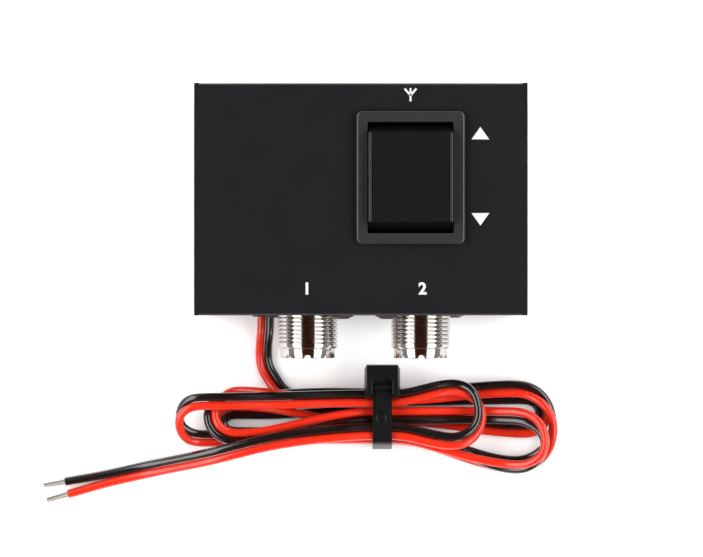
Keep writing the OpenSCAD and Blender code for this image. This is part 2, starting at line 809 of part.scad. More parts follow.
// Two upright electrolytic cans with a crimp near the foot
can_left = [16, 8];
can_inset = 5;
can_x = [for (left = can_left) board_x - left];
can_y = board_y - board_h / 2 + can_inset;
module filter_capacitors() {
    can_r = 3.15;
    can_h = 11;
    groove_z = 1.6;
    color("#3a3f4a") for (x = can_x)
        translate([x, can_y, board_top]) difference() {
            cylinder(r = can_r, h = can_h);
            translate([0, 0, groove_z]) rotate_extrude()
                translate([can_r + 0.1, 0]) circle(0.5);
        }
}

// Choke: a ferrite bobbin with its winding as one body
module rf_choke() {
    choke_left = 20;
    choke_down = 5;
    cheek_r = 4.5;
    cheek_t = 1.2;
    core_r = 3.9;
    upper_cheek_z = 8;
    color("#5a4536") translate([board_x - choke_left, board_y - choke_down, board_top]) {
        cylinder(r = cheek_r, h = cheek_t);
        cylinder(r = core_r, h = upper_cheek_z + cheek_t / 2);
        translate([0, 0, upper_cheek_z]) cylinder(r = cheek_r, h = cheek_t);
    }
}

// Two diodes lying on the board, with their leads bent down to it
module diodes() {
    diode_left = 9.5;
    diode_down = [4, -1];
    diode_r = 1.35;
    diode_l = 5;
    reach = 5;
    lead_r = 0.4;
    color("#1a1a1a") for (down = diode_down)
        translate([board_x - diode_left, board_y - down, board_top]) {
            translate([-diode_l / 2, 0, diode_r]) rotate([0, 90, 0]) cylinder(r = diode_r, h = diode_l);
            translate([-reach, 0, diode_r]) rotate([0, 90, 0]) cylinder(r = lead_r, h = 2 * reach);
            for (end = [-1, 1]) translate([end * reach, 0, 0]) cylinder(r = lead_r, h = diode_r + lead_r);
        }
}

// Ceramic disc between the two solder cups
module blocking_capacitor() {
    disc_r = 5;
    disc_t = 3;
    lead_r = 0.4;
    y = cup_end - wall_y + lead_r;
    middle_x = (left_jack_x + right_jack_x) / 2;
    color("#c07a2c") {
        translate([middle_x, y + disc_t / 2, jack_z]) rotate([90, 0, 0])
            cylinder(r = disc_r, h = disc_t);
        translate([left_jack_x - cup_r, y, jack_z]) rotate([0, 90, 0])
            cylinder(r = lead_r, h = right_jack_x - left_jack_x + 2 * cup_r);
    }
}

// Hook-up wire from the right socket's cup down to the board
module rf_wire() {
    r = 0.8;
    x = right_jack_x + cup_r + 2;
    y = cup_end - wall_y - 2;
    foot_y = board_y - board_h / 2 + 2;
    color("#d8d4c8") wire(smooth([
        [right_jack_x + cup_r + seam, y, jack_z], [right_jack_x + cup_r + 1, y, jack_z],
        [x, y, jack_z], [x + 1.5, y + 1, jack_z - 1], [x + 1.5, foot_y - 2, board_top + 6],
        [x + 1.5, foot_y, board_top + 3], [x + 1.5, foot_y, board_top + 1.5],
        [x + 1.5, foot_y, board_top]], 5), r);
}

// Hook-up wire from the ground lug's tongue to the board
module ground_wire() {
    r = 0.8;
    x = lug_x + lug_tongue - 3 - 1.2;
    foot_y = board_y - board_h / 2 + 2;
    color("#2c7a3a") wire(smooth([
        [x, lug_y + lug_t + seam, lug_z], [x, lug_y + 2, lug_z], [x, lug_y + 4, lug_z],
        [x, foot_y - 4, lug_z - 1], [x, foot_y, lug_z - 6], [x, foot_y, board_top + 8],
        [x, foot_y, board_top + 4], [x, foot_y, board_top]], 5), r);
}

module grommet() {
    lip_r = grommet_d / 2;
    color(black) in_socket_wall(lead_x, lead_z) rotate_extrude() polygon([
        [grommet_bore_d / 2, -grommet_lip], [lip_r - 0.3, -grommet_lip], [lip_r, -0.3], [lip_r, 0],
        [groove_r, 0], [groove_r, sheet_t], [lip_r, sheet_t], [lip_r, sheet_t + 0.3],
        [lip_r - 0.3, sheet_t + grommet_lip], [grommet_bore_d / 2, sheet_t + grommet_lip]]);
}

// Outside and inside faces of the grommet, along Y
grommet_out_y = -body_h / 2 - grommet_lip;
grommet_in_y = -wall_y + grommet_lip;

// Small tie that stops the lead from being pulled out
module inner_tie() {
    band_t = 0.9;
    band_w = 2.5;
    head = 4;
    color(nylon) translate([lead_x, grommet_in_y + seam, lead_z]) rotate([-90, 0, 0]) difference() {
        union() {
            linear_extrude(band_w)
                round_rect(4 * wire_r + 2 * band_t + 0.2, 2 * wire_r + 2 * band_t, wire_r + band_t / 2);
            translate([-head - 2 * wire_r, -head / 2 + 0.3, 0]) cube([head, head - 0.6, band_w + 1]);
        }
        translate([0, 0, -cut]) linear_extrude(band_w + 3 * cut)
            round_rect(4 * wire_r + 0.2, 2 * wire_r + 0.1, wire_r);
    }
}

// One conductor from the outside of the grommet to the underside of the board
module inner_lead(side) {
    x = lead_x + side * pair_half;
    foot_x = board_x - board_w / 2 + 5 + 3 * side;
    foot_y = board_y - board_h / 2 + 5;
    wire(smooth([
        [x, grommet_out_y, lead_z], [x, grommet_out_y + 4, lead_z], [x, grommet_out_y + 8, lead_z],
        [x + side * 0.5, foot_y - 9, lead_z - 1], [foot_x, foot_y - 3.5, lead_z - 1.6],
        [foot_x, foot_y, board_z - 3], [foot_x, foot_y, board_z - 1.5], [foot_x, foot_y, board_z]],
        4), wire_r);
}

module inner_lead_red() {
    color(red) inner_lead(-1);
}

module inner_lead_black() {
    color(black) inner_lead(1);
}

// The outer lead is a pair of conductors laid along one centre line, each point of which
// has a place, a roll and half of the pair's spacing
function ease(t) = let (u = min(1, max(0, t))) u * u * (3 - 2 * u);
function mix(a, b, t) = a + (b - a) * ease(t);
function place(p) = [p[0], p[1], p[2]];
function conductor(route, side) =
    let (h = headings([for (p = route) place(p)]))
    [for (i = [0 : len(route) - 1])
        let (p = route[i], left = unit([-h[i][1], h[i][0], 0]), up = cross(h[i], left))
        place(p) + side * p[4] * (cos(p[3]) * left + sin(p[3]) * up)];

// Plan of one loop: out along a side, round the end and back to the next pass
function loop_plan(k) =
    let (
        p = loops[k],
        q = pass_y[k] > pass_y[k + 1] ? 1 : -1,
        out = function (t) p[0] * (pass_half + (p[1] - pass_half) * t)
    )
    concat(
        [for (i = [0 : side_steps - 1])
            let (t = i / side_steps)
            [out(t), mix(pass_y[k], p[2] + q * p[4], t), p[5],
             mix(pass_roll[k], p[7], t)]],
        [for (i = [0 : turn_steps - 1])
            let (t = i / turn_steps, turn = 180 * t)
            [p[0] * (p[1] + p[3] * sin(turn)), p[2] + q * p[4] * cos(turn), t < 0.5 ? p[5] : p[6],
             p[7] + (p[8] - p[7]) * ease(2 * t) + (p[9] - p[8]) * ease(2 * t - 1)]],
        [for (i = [0 : side_steps])
            let (t = 1 - i / side_steps)
            [out(t), mix(pass_y[k + 1], p[2] - q * p[4], t), p[6],
             mix(pass_roll[k + 1], p[9], t)]]);

function but_last(p) = [for (i = [0 : len(p) - 2]) p[i]];
function but_first(p) = [for (i = [1 : len(p) - 1]) p[i]];
function hank_plan() = concat(
    but_last(smooth(hank_start, 2)),
    [for (k = [0 : len(loops) - 1]) each loop_plan(k)],
    but_first(smooth(hank_end, 2)));

// Length of the cord up to each point
function lengths(p) = [
    for (i = 0, s = 0; i < len(p);
         i = i + 1, s = i < len(p) ? s + norm([p[i][0] - p[i - 1][0], p[i][1] - p[i - 1][1]]) : s) s
];

// Heights at which every run lies on the table, on the strap or on the runs below it.
// Each round lifts what lies too low and eases the climbs, until nothing moves.
function eased(h, s) = [for (i = [0 : len(h) - 1])
    max([for (j = [max(0, i - 16) : min(len(h) - 1, i + 16)])
        h[j] - climb * (sqrt(pow(s[i] - s[j], 2) + crest * crest) - crest)])];
function settled(z, rest, below, tall, s, rounds) =
    rounds == 0 ? z : settled(
        eased([for (i = [0 : len(z) - 1])
            max(concat([rest[i]],
                       [for (j = below[i]) z[j] + tall[i] + tall[j] + hank_gap]))], s),
        rest, below, tall, s, rounds - 1);
function averaged(z) = [for (i = [0 : len(z) - 1])
    (z[max(0, i - 1)] + 2 * z[i] + z[min(len(z) - 1, i + 1)]) / 4];

// Centre line of the hank
function hank_route() =
    let (
        plan = hank_plan(),
        last = len(plan) - 1,
        s = lengths(plan),
        wide = [for (p = plan) wire_r + pair_half * abs(cos(p[3]))],
        tall = [for (p = plan) wire_r + pair_half * abs(sin(p[3]))],
        rest = [for (i = [0 : last])
            tall[i] + (abs(plan[i][0]) < lifted_half ? strap_t + strap_slack : 0)],
        below = [for (i = [0 : last])
            [for (j = [0 : last])
                if (plan[j][2] < plan[i][2] && abs(s[i] - s[j]) > near_along
                    && norm([plan[i][0] - plan[j][0], plan[i][1] - plan[j][1]])
                       < wide[i] + wide[j] + side_gap) j]],
        z = averaged(settled(rest, rest, below, tall, s, 10))
    )
    [for (i = [0 : last])
        [tie_x + plan[i][0], tie_y + plan[i][1],
         i < 3 || i > last - 3 ? wire_r : max(z[i], tall[i]), plan[i][3], pair_half]];

// Least gap between two stretches of one tube, measured between its points
function least_gap(p, r) =
    let (s = lengths(p))
    min([for (i = [0 : len(p) - 1], j = [i + 1 : 1 : len(p) - 1])
        if (s[j] - s[i] > near_along) norm(p[i] - p[j])]) - 2 * r;

module hank_conductor(side) {
    route = conductor(hank_route(), side);
    echo(str("least gap of the hank's ", side > 0 ? "red" : "black", " conductor to itself: ",
             least_gap(route, wire_r), " mm"));
    wire(route, wire_r, 6);
}

module hank_red() {
    color(red) hank_conductor(1);
}

module hank_black() {
    color(black) hank_conductor(-1);
}

module lead_start_red() {
    color(red) wire(conductor(smooth(lead_route, 3), 1), wire_r);
}

module lead_start_black() {
    color(black) wire(conductor(smooth(lead_route, 3), -1), wire_r);
}

module lead_end_red() {
    color(red) wire(conductor(smooth(tail_route, 3), 1), wire_r);
}

module lead_end_black() {
    color(black) wire(conductor(smooth(tail_route, 3), -1), wire_r);
}

// Stripped and tinned ends of both conductors
module lead_tips() {
    strands_r = 0.65;
    color(nickel) for (side = [-1, 1]) {
        route = conductor(smooth(tail_route, 3), side);
        from = route[len(route) - 1];
        ahead = unit(from - route[len(route) - 2]);
        wire([from, from + ahead * tip_len / 2, from + ahead * tip_len], strands_r);
    }
}

// Where the conductors lie at the tie, in y and z
function tie_section() =
    let (route = hank_route())
    [for (side = [-1, 1], p = conductor(route, side))
        if (abs(p[0] - tie_x) < pass_half + 0.5) [p[1], p[2]]];

// Bundle at the tie, grown by the wire's radius and some slack
module bundle_outline(section, slack) {
    hull() for (p = section) translate(p) circle(wire_r + slack, $fn = 24);
}

// Strap round the bundle, whose end comes up through the head and is cut off flush
module cable_tie() {
    section = tie_section();
    around = wire_r + strap_slack + strap_t;
    top = max([for (p = section) p[1]]) + around;
    back = max([for (p = section) p[0]]) + around;
    color(nylon) translate([tie_x, 0, 0]) {
        difference() {
            union() {
                across(strap_w) bundle_outline(section, strap_slack + strap_t);
                translate([0, back, top]) tie_head();
            }
            across(2 * head_w) bundle_outline(section, strap_slack);
        }
    }
}

// Head with its slot, about the outer corner of the strap
module tie_head() {
    head_up = 1.6;
    over = head_len - head_rear;
    slot_w = strap_w + 0.2;
    slot_deep = 2.4;
    taper = 0.6;
    difference() {
        hull() {
            translate([-head_w / 2 - taper, -over, head_up - head_h])
                cube([head_w + 2 * taper, head_len - 2 * taper, head_h - 3]);
            translate([-head_w / 2, -over + taper, head_up - head_h])
                cube([head_w, head_len - taper, head_h]);
        }
        translate([-slot_w / 2, -over - cut, head_up - slot_deep])
            cube([slot_w, head_len * 0.6 + cut, slot_deep + cut]);
    }
    // The strap's cut end in the slot
    translate([-strap_w / 2, -strap_t - 0.4, head_up - head_h])
        cube([strap_w, strap_t, head_h - 1.2]);
}

module across(width) {
    rotate([90, 0, 90]) linear_extrude(width, center = true) children();
}

front_shell();
back_cover();
cover_screws();
switch_housing();
rocker();
rocker_plungers();
plunger_springs();
left_contact();
right_contact();
switch_terminals();
left_jack_shell();
left_jack_insulator();
left_jack_contact();
left_jack_rivets();
right_jack_shell();
right_jack_insulator();
right_jack_contact();
right_jack_rivets();
ground_lug();
circuit_board();
voltage_regulator();
regulator_screw();
regulator_nut();
filter_capacitors();
rf_choke();
diodes();
blocking_capacitor();
rf_wire();
ground_wire();
grommet();
inner_tie();
inner_lead_red();
inner_lead_black();
lead_start_red();
lead_start_black();
hank_red();
hank_black();
lead_end_red();
lead_end_black();
lead_tips();
cable_tie();
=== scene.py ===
# %% [markdown]
# # Antenna control unit
# A folded black box with a momentary rocker switch, two threaded UHF sockets and a red and
# black lead tied in a hank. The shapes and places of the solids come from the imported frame.
# This script adds the finishes, the free lead, the screw threads, the marks of the cable tie
# and the screen print, and lights the unit as it lies on a white table.
#
# A solid of the frame is never moved or reshaped. Where a finer shape is wanted, a new piece
# stands for the solid and rides on the same body, so it follows when a joint turns.

# %% Start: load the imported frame
import json
import math

import bmesh
import bpy
import numpy as np
from mathutils import Matrix, Vector

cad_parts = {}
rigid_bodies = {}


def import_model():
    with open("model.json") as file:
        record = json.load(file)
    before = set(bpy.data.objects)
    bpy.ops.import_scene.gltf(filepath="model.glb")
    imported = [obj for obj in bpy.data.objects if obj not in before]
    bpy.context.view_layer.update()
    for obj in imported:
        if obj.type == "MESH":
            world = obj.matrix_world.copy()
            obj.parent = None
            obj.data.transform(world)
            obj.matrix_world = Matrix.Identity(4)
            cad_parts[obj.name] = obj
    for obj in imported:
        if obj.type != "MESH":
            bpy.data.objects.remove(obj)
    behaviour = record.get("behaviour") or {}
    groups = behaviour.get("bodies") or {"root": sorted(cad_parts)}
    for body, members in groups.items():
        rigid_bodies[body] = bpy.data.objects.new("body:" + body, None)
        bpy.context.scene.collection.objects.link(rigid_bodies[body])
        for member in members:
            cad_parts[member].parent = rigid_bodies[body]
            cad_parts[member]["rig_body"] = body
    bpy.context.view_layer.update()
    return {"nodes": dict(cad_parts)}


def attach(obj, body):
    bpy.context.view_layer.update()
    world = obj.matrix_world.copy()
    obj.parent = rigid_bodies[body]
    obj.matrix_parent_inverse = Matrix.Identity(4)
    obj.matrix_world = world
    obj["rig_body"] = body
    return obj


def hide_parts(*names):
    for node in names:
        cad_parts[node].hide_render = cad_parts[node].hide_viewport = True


MM = 0.001
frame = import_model()


# %% [markdown]
# ## The camera
# The photograph looks straight down on a unit that lies on its back. A camera needs no tilt
# then: Blender's camera looks down -Z with +Y up in the frame. Its height decides how much
# larger the near panel looks than the sockets, which lie lower, so the height was worked out
# from the two scales and the lens follows from the panel's width.

# %% Camera
PHOTO_WIDTH_PX = 703
FOCAL_PX = 2328
SENSOR_MM = 36
CAMERA_PLACE_MM = (-2.41, -20.46, 638)

camera = bpy.data.objects.new("camera", bpy.data.cameras.new("camera"))
camera.location = Vector(CAMERA_PLACE_MM) * MM
camera.data.sensor_width = SENSOR_MM
camera.data.lens = SENSOR_MM * FOCAL_PX / PHOTO_WIDTH_PX
bpy.context.scene.collection.objects.link(camera)
bpy.context.scene.camera = camera
print("lens:", round(camera.data.lens, 1), "mm")

# %% [markdown]
# ## Colours and nodes
# Colours are written as sRGB hex, the way a picture editor shows them. Shaders work on linear
# light, so one function converts every colour. Another adds a node with its settings and
# links, which keeps a material down to the few lines that say what is special about it.
#
# A pattern could come from an image, but that needs a file and an unwrapped mesh. Noise fixed
# to the piece needs neither, and its scale is worked out from the real size of a grain. A pixel
# of the render is 0.27 mm wide here, so a grain finer than that is drawn coarser, until it shows.

# %% Colour and node helpers
def linear(hex_code):
    """A linear RGBA colour from an sRGB hex code such as #f03a24."""
    parts = [int(hex_code[i:i + 2], 16) / 255 for i in (1, 3, 5)]
    return [c / 12.92 if c <= 0.04045 else ((c + 0.055) / 1.055) ** 2.4 for c in parts] + [1.0]


def feed(node, inputs):
    """Gives each named input a value, a socket, or the first output of another node."""
    for name, value in inputs.items():
        if isinstance(value, bpy.types.Node):
            value = value.outputs[0]
        if isinstance(value, bpy.types.NodeSocket):
            node.id_data.links.new(value, node.inputs[name])
        else:
            node.inputs[name].default_value = value


def add(tree, kind, inputs=None, **settings):
    """A new node with its settings, its values and its links."""
    node = tree.nodes.new("ShaderNode" + kind)
    for name, value in settings.items():
        setattr(node, name, value)
    feed(node, inputs or {})
    return node


def per_metre(size_mm):
    """The Scale of a pattern whose features are that many millimetres across."""
    return 1 / (size_mm * MM)


def new_finish(name, colour, roughness, metallic=0.0, ior=1.5, specular=0.5, coat=0.0):
    """A material of one colour, and the place on the piece that its patterns are fixed to."""
    made = bpy.data.materials.new(name)
    made.use_nodes = True
    tree = made.node_tree
    tree.nodes.clear()
    # Blender adds .001 where the frame brings a plain material of the same name
    print("finish:", made.name)
    shader = add(tree, "BsdfPrincipled", {
        "Base Color": linear(colour), "Roughness": roughness, "Metallic": metallic, "IOR": ior,
        "Specular IOR Level": specular, "Coat Weight": coat, "Coat Roughness": 0.1})
    add(tree, "OutputMaterial", {"Surface": shader})
    return made, tree, shader, add(tree, "TexCoord").outputs["Object"]


# %% [markdown]
# ## Baked enamel
# The box is aluminium sheet, sprayed and stoved in satin black. Such enamel levels out before
# it hardens, so it is nearly even: a faint cloud in its colour, a haze where it was wiped and
# an orange peel a few microns high, whose waves are about half a millimetre long.

# %% Baked enamel on aluminium sheet
def make_baked_enamel():
    """Near black, with a soft, wide shine that the orange peel breaks up a little."""
    made, tree, shader, place = new_finish("baked_enamel", "#1c1d20", 0.3, specular=0.3)
    cloud = add(tree, "TexNoise", {"Vector": place, "Scale": per_metre(9.0)})
    haze = add(tree, "TexNoise", {"Vector": place, "Scale": per_metre(1.5)})
    peel = add(tree, "TexNoise", {"Vector": place, "Scale": per_metre(0.5)})
    feed(shader, {
        "Base Color": add(tree, "MixRGB", {
            "Fac": cloud, "Color1": linear("#1a1b1e"), "Color2": linear("#1f2023")}),
        "Roughness": add(tree, "MapRange", {"Value": haze, "To Min": 0.28, "To Max": 0.34}),
        "Normal": add(tree, "Bump", {"Height": peel, "Distance": 0.004 * MM})})
    return made


baked_enamel = make_baked_enamel()

# %% [markdown]
# ## Moulded nylon
# Housing and rocker are both nylon, but from different moulds. The housing's mould was
# polished, so the bezel is a satin dark grey, and its edges shine where fingers rub them: that
# is the same nylon with a clear coat. Its glass fibres leave a faint grain, finer than the
# 0.4 mm that it is drawn at. The rocker's mould was eroded by sparks, and its fine pits spread
# the shine until the face looks almost flat black. The real pits are about 0.05 mm across and
# are drawn at 0.45 mm, as coarse as they need to be to show.

# %% Moulded nylon of the switch
def make_satin_nylon(name, coat):
    """Glass-filled nylon from a polished mould, with a thicker shine where it is rubbed."""
    made, tree, shader, place = new_finish(name, "#323135", 0.33, specular=0.4, coat=coat)
    flow = add(tree, "TexNoise", {"Vector": place, "Scale": per_metre(3.0)})
    grain = add(tree, "TexNoise", {"Vector": place, "Scale": per_metre(0.4)})
    feed(shader, {
        "Base Color": add(tree, "MixRGB", {
            "Fac": flow, "Color1": linear("#2f2e32"), "Color2": linear("#353438")}),
        "Normal": add(tree, "Bump", {"Height": grain, "Distance": 0.003 * MM})})
    return made


def make_fine_nylon():
    """Nylon from a finely eroded mould, whose pits take the gloss off."""
    made, tree, shader, place = new_finish("fine_nylon", "#100f0f", 0.42, specular=0.2)
    pits = add(tree, "TexNoise", {"Vector": place, "Scale": per_metre(0.45), "Detail": 4.0})
    feed(shader, {
        "Base Color": add(tree, "MixRGB", {
            "Fac": pits, "Color1": linear("#0f0e0e"), "Color2": linear("#121110")}),
        "Normal": add(tree, "Bump", {"Height": pits, "Distance": 0.006 * MM})})
    return made


satin_nylon = make_satin_nylon("satin_nylon", 0.0)
rubbed_nylon = make_satin_nylon("rubbed_nylon", 0.55)
fine_nylon = make_fine_nylon()

# %% [markdown]
# ## Metals
# A metal has no colour of its own under its shine, so Metallic is 1 and the base colour tints
# the reflections. The sockets are turned brass under bright nickel: nearly a mirror, hazier
# where it was handled. Contacts, springs and strands are bare, a duller mirror with small
# stains. Screws and rivets are steel with a thin black oxide, which is part metal, part stone,
# so Metallic lies between. Tool marks and oxide grain are finer than the 0.35 and 0.4 mm that
# they are drawn at.

# %% Metals
def make_nickel_plate():
    """Bright nickel: the dark and light bands of the room stay sharp in it."""
    made, tree, shader, place = new_finish("nickel_plate", "#c2bfbb", 0.1, metallic=1.0)
    handled = add(tree, "TexNoise", {"Vector": place, "Scale": per_metre(2.5)})
    feed(shader, {
        "Roughness": add(tree, "MapRange", {"Value": handled, "To Min": 0.07, "To Max": 0.13})})
    return made


def make_turned_metal(name, dark, light, roughness):
    """Bare metal from the lathe or the press: its fine tool marks blur the reflections."""
    made, tree, shader, place = new_finish(name, light, roughness, metallic=1.0)
    stains = add(tree, "TexNoise", {"Vector": place, "Scale": per_metre(2.0)})
    marks = add(tree, "TexNoise", {"Vector": place, "Scale": per_metre(0.35)})
    feed(shader, {
        "Base Color": add(tree, "MixRGB", {
            "Fac": stains, "Color1": linear(dark), "Color2": linear(light)}),
        "Normal": add(tree, "Bump", {"Height": marks, "Distance": 0.003 * MM})})
    return made


def make_blackened_steel():
    """Steel under black oxide that grows grey where it is worn."""
    made, tree, shader, place = new_finish("blackened_steel", "#3a3a3c", 0.35, metallic=0.6)
    worn = add(tree, "TexNoise", {"Vector": place, "Scale": per_metre(0.7)})
    grain = add(tree, "TexNoise", {"Vector": place, "Scale": per_metre(0.4)})
    feed(shader, {
        "Base Color": add(tree, "MixRGB", {
            "Fac": worn, "Color1": linear("#2c2b2c"), "Color2": linear("#4a4a4c")}),
        "Normal": add(tree, "Bump", {"Height": grain, "Distance": 0.004 * MM})})
    return made


nickel_plate = make_nickel_plate()
turned_brass = make_turned_metal("turned_brass", "#b08d46", "#d0ae66", 0.28)
spring_steel = make_turned_metal("spring_steel", "#86888b", "#a9abae", 0.3)
tinned_copper = make_turned_metal("tinned_copper", "#a9a7a2", "#cfccc6", 0.3)
blackened_steel = make_blackened_steel()

# %% [markdown]
# ## PVC insulation
# The wires have extruded soft PVC round them. Plasticiser sweats out to a clear skin, which
# gives the wet, narrow highlights along each wire, so the finish has a coat over a softer
# shine. Extrusion leaves slow swellings about 1.6 mm long and a hundredth of one high.

# %% PVC insulation
def make_pvc(name, dark, light, coat):
    """Soft PVC with a clear skin: a bright line of light on a full colour."""
    made, tree, shader, place = new_finish(name, light, 0.3, ior=1.53, coat=coat)
    batch = add(tree, "TexNoise", {"Vector": place, "Scale": per_metre(4.0)})
    skin = add(tree, "TexNoise", {"Vector": place, "Scale": per_metre(1.2)})
    swell = add(tree, "TexNoise", {"Vector": place, "Scale": per_metre(1.6)})
    feed(shader, {
        "Base Color": add(tree, "MixRGB", {
            "Fac": batch, "Color1": linear(dark), "Color2": linear(light)}),
        "Roughness": add(tree, "MapRange", {"Value": skin, "To Min": 0.22, "To Max": 0.3}),
        "Normal": add(tree, "Bump", {"Height": swell, "Distance": 0.01 * MM})})
    return made


red_pvc = make_pvc("red_pvc", "#f42c14", "#fd381e", 0.3)
black_pvc = make_pvc("black_pvc", "#0c0a0b", "#100e0f", 1.0)

# %% [markdown]
# ## Rubber, tie nylon and ink
# The grommet is moulded rubber, which is dull and nearly black. The cable tie is nylon 66
# without any filler: smooth, but its gloss is softened by handling and a worn mould. The marks
# are screen-printing ink, flat and matt, and the mesh of the screen leaves its cover uneven.
# That mesh and the rubber's grain are about 0.1 mm and are drawn at 0.4 mm, so that they show.

# %% Rubber, tie nylon and print
def make_rubber():
    """Moulded rubber: hardly any shine, with a fine grain."""
    made, tree, shader, place = new_finish("rubber", "#1b1b1c", 0.7)
    grain = add(tree, "TexNoise", {"Vector": place, "Scale": per_metre(0.4)})
    feed(shader, {"Normal": add(tree, "Bump", {"Height": grain, "Distance": 0.01 * MM})})
    return made


def make_tie_nylon():
    """Unfilled nylon: black, with a soft shine that follows its bends."""
    made, tree, shader, place = new_finish("tie_nylon", "#101011", 0.35, specular=0.3)
    rubbed = add(tree, "TexNoise", {"Vector": place, "Scale": per_metre(1.5)})
    ripple = add(tree, "TexNoise", {"Vector": place, "Scale": per_metre(0.8)})
    feed(shader, {
        "Roughness": add(tree, "MapRange", {"Value": rubbed, "To Min": 0.31, "To Max": 0.39}),
        "Normal": add(tree, "Bump", {"Height": ripple, "Distance": 0.006 * MM})})
    return made


def make_screen_ink():
    """White screen-printing ink: matt, and slightly uneven in cover."""
    made, tree, shader, place = new_finish("screen_ink", "#f2f3f3", 0.55)
    cover = add(tree, "TexNoise", {"Vector": place, "Scale": per_metre(0.4)})
    feed(shader, {
        "Base Color": add(tree, "MixRGB", {
            "Fac": cover, "Color1": linear("#e6e8e8"), "Color2": linear("#fbfbfb")})})
    return made


rubber = make_rubber()
tie_nylon = make_tie_nylon()
screen_ink = make_screen_ink()

# %% [markdown]
# ## Inner parts
# Board, capacitors, diodes and sleeves only show through an opening, so they share one recipe:
# a colour that varies a little and a slight grain. Each is still named for what it is made of.

# %% What sits inside the box
GRAIN_MM, GRAIN_DEEP_MM = 0.5, 0.005


def make_plain(name, dark, light, roughness):
    """Moulded, dipped or laminated part that only shows through an opening."""
    made, tree, shader, place = new_finish(name, light, roughness)
    grain = add(tree, "TexNoise", {"Vector": place, "Scale": per_metre(GRAIN_MM)})
    feed(shader, {
        "Base Color": add(tree, "MixRGB", {
            "Fac": grain, "Color1": linear(dark), "Color2": linear(light)}),
        "Normal": add(tree, "Bump", {"Height": grain, "Distance": GRAIN_DEEP_MM * MM})})
    return made


ptfe = make_plain("ptfe", "#e9e4d8", "#f3efe6", 0.4)
board_laminate = make_plain("board_laminate", "#275c33", "#31703f", 0.35)
black_epoxy = make_plain("black_epoxy", "#1a1a1c", "#232325", 0.5)
can_sleeve = make_plain("can_sleeve", "#2f343e", "#3d434e", 0.35)
wound_ferrite = make_plain("wound_ferrite", "#4c3a2e", "#67503f", 0.5)
dipped_ceramic = make_plain("dipped_ceramic", "#b06e25", "#c98436", 0.35)
green_sleeve = make_plain("green_sleeve", "#246a31", "#2f8040", 0.35)
white_sleeve = make_plain("white_sleeve", "#cfcbc0", "#dedacf", 0.35)

# %% [markdown]
# ## Dressing the solids
# Every solid gets its finish from one table. Setting them one by one would do as well, but a
# table shows at a glance that none is left in Blender's grey.

# %% Dress every solid with its finish
FINISH_OF_NODE = {
    "front_shell": baked_enamel, "back_cover": baked_enamel, "cover_screws": blackened_steel,
    "switch_housing": satin_nylon, "rocker": fine_nylon,
    "rocker_plungers": turned_brass, "plunger_springs": spring_steel,
    "left_contact": turned_brass, "right_contact": turned_brass,
    "switch_terminals": turned_brass,
    "left_jack_shell": nickel_plate, "right_jack_shell": nickel_plate,
    "left_jack_insulator": ptfe, "right_jack_insulator": ptfe,
    "left_jack_contact": turned_brass, "right_jack_contact": turned_brass,
    "left_jack_rivets": blackened_steel, "right_jack_rivets": blackened_steel,
    "ground_lug": tinned_copper, "circuit_board": board_laminate,
    "voltage_regulator": black_epoxy, "regulator_screw": spring_steel,
    "regulator_nut": spring_steel, "filter_capacitors": can_sleeve,
    "rf_choke": wound_ferrite, "diodes": black_epoxy, "blocking_capacitor": dipped_ceramic,
    "rf_wire": white_sleeve, "ground_wire": green_sleeve, "grommet": rubber,
    "inner_tie": tie_nylon, "inner_lead_red": red_pvc, "inner_lead_black": black_pvc,
    "lead_start_red": red_pvc, "lead_start_black": black_pvc,
    "hank_red": red_pvc, "hank_black": black_pvc,
    "lead_end_red": red_pvc, "lead_end_black": black_pvc,
    "lead_tips": tinned_copper, "cable_tie": tie_nylon,
}


def wear(piece, finish):
    """Gives a piece one finish all over."""
    piece.data.materials.clear()
    piece.data.materials.append(finish)


for node, finish in FINISH_OF_NODE.items():
    wear(frame["nodes"][node], finish)
print("solids dressed:", len(FINISH_OF_NODE), "in", len(set(FINISH_OF_NODE.values())), "finishes")

# %% [markdown]
# ## The free lead
# The lead is a pair of PVC wires side by side, about 0.8 m long, folded into a flat hank and
# tied. A simulation wouldn't lay its loops where the photograph shows them. Here the route is
# written as listed points for the two ends and, for the hank, as eight passes under the
# tie joined by seven loops. Each point also says how the pair is rolled: 0 where red lies to
# the left of the way that the cord runs, 90 where it is on top.

# %% The two ends of the lead, in millimetres
WIRE_R = 1.15
PAIR_HALF = 1.175
TIP_LEN = 6
# x, y, z, roll, half the distance between the two wires
LEAD_ROUTE = [
    (-25.7, -30.8, 5.4, 180, 1.175), (-25.7, -32.5, 5.4, 180, 1.175),
    (-25.7, -34.2, 5.3, 180, 1.175), (-26.2, -38, 3.6, 180, 1.175),
    (-26.4, -42, 1.7, 180, 1.175), (-25.95, -45.05, 1.15, 180, 1.175),
    (-25.325, -46.025, 1.15, 180, 1.175), (-24.7, -47, 1.15, 180, 1.175),
]
TAIL_ROUTE = [
    (-62.1, -73.54, 1.15, 360, 1.175), (-64.1, -74, 1.15, 360, 1.175),
    (-66.1, -74.46, 1.15, 360, 1.175), (-69.5, -75.24, 1.15, 360, 1.2),
    (-73, -76.04, 1.15, 360, 1.35), (-76.5, -76.85, 1.15, 360, 1.55),
    (-78.4, -77.28, 1.15, 360, 1.65), (-80.3, -77.72, 1.15, 360, 1.75),
]

# %% The hank's passes and loops, in millimetres from the tie
TIE_X, TIE_Y = 5.9, -57.7
PASS_HALF = 3
PASS_Y = (4.8, -0.4, -5.6, 5.2, 0, -5.2, 4.9, -4)
PASS_ROLL = (0, 0, 180, 0, 0, 0, 180, 360)
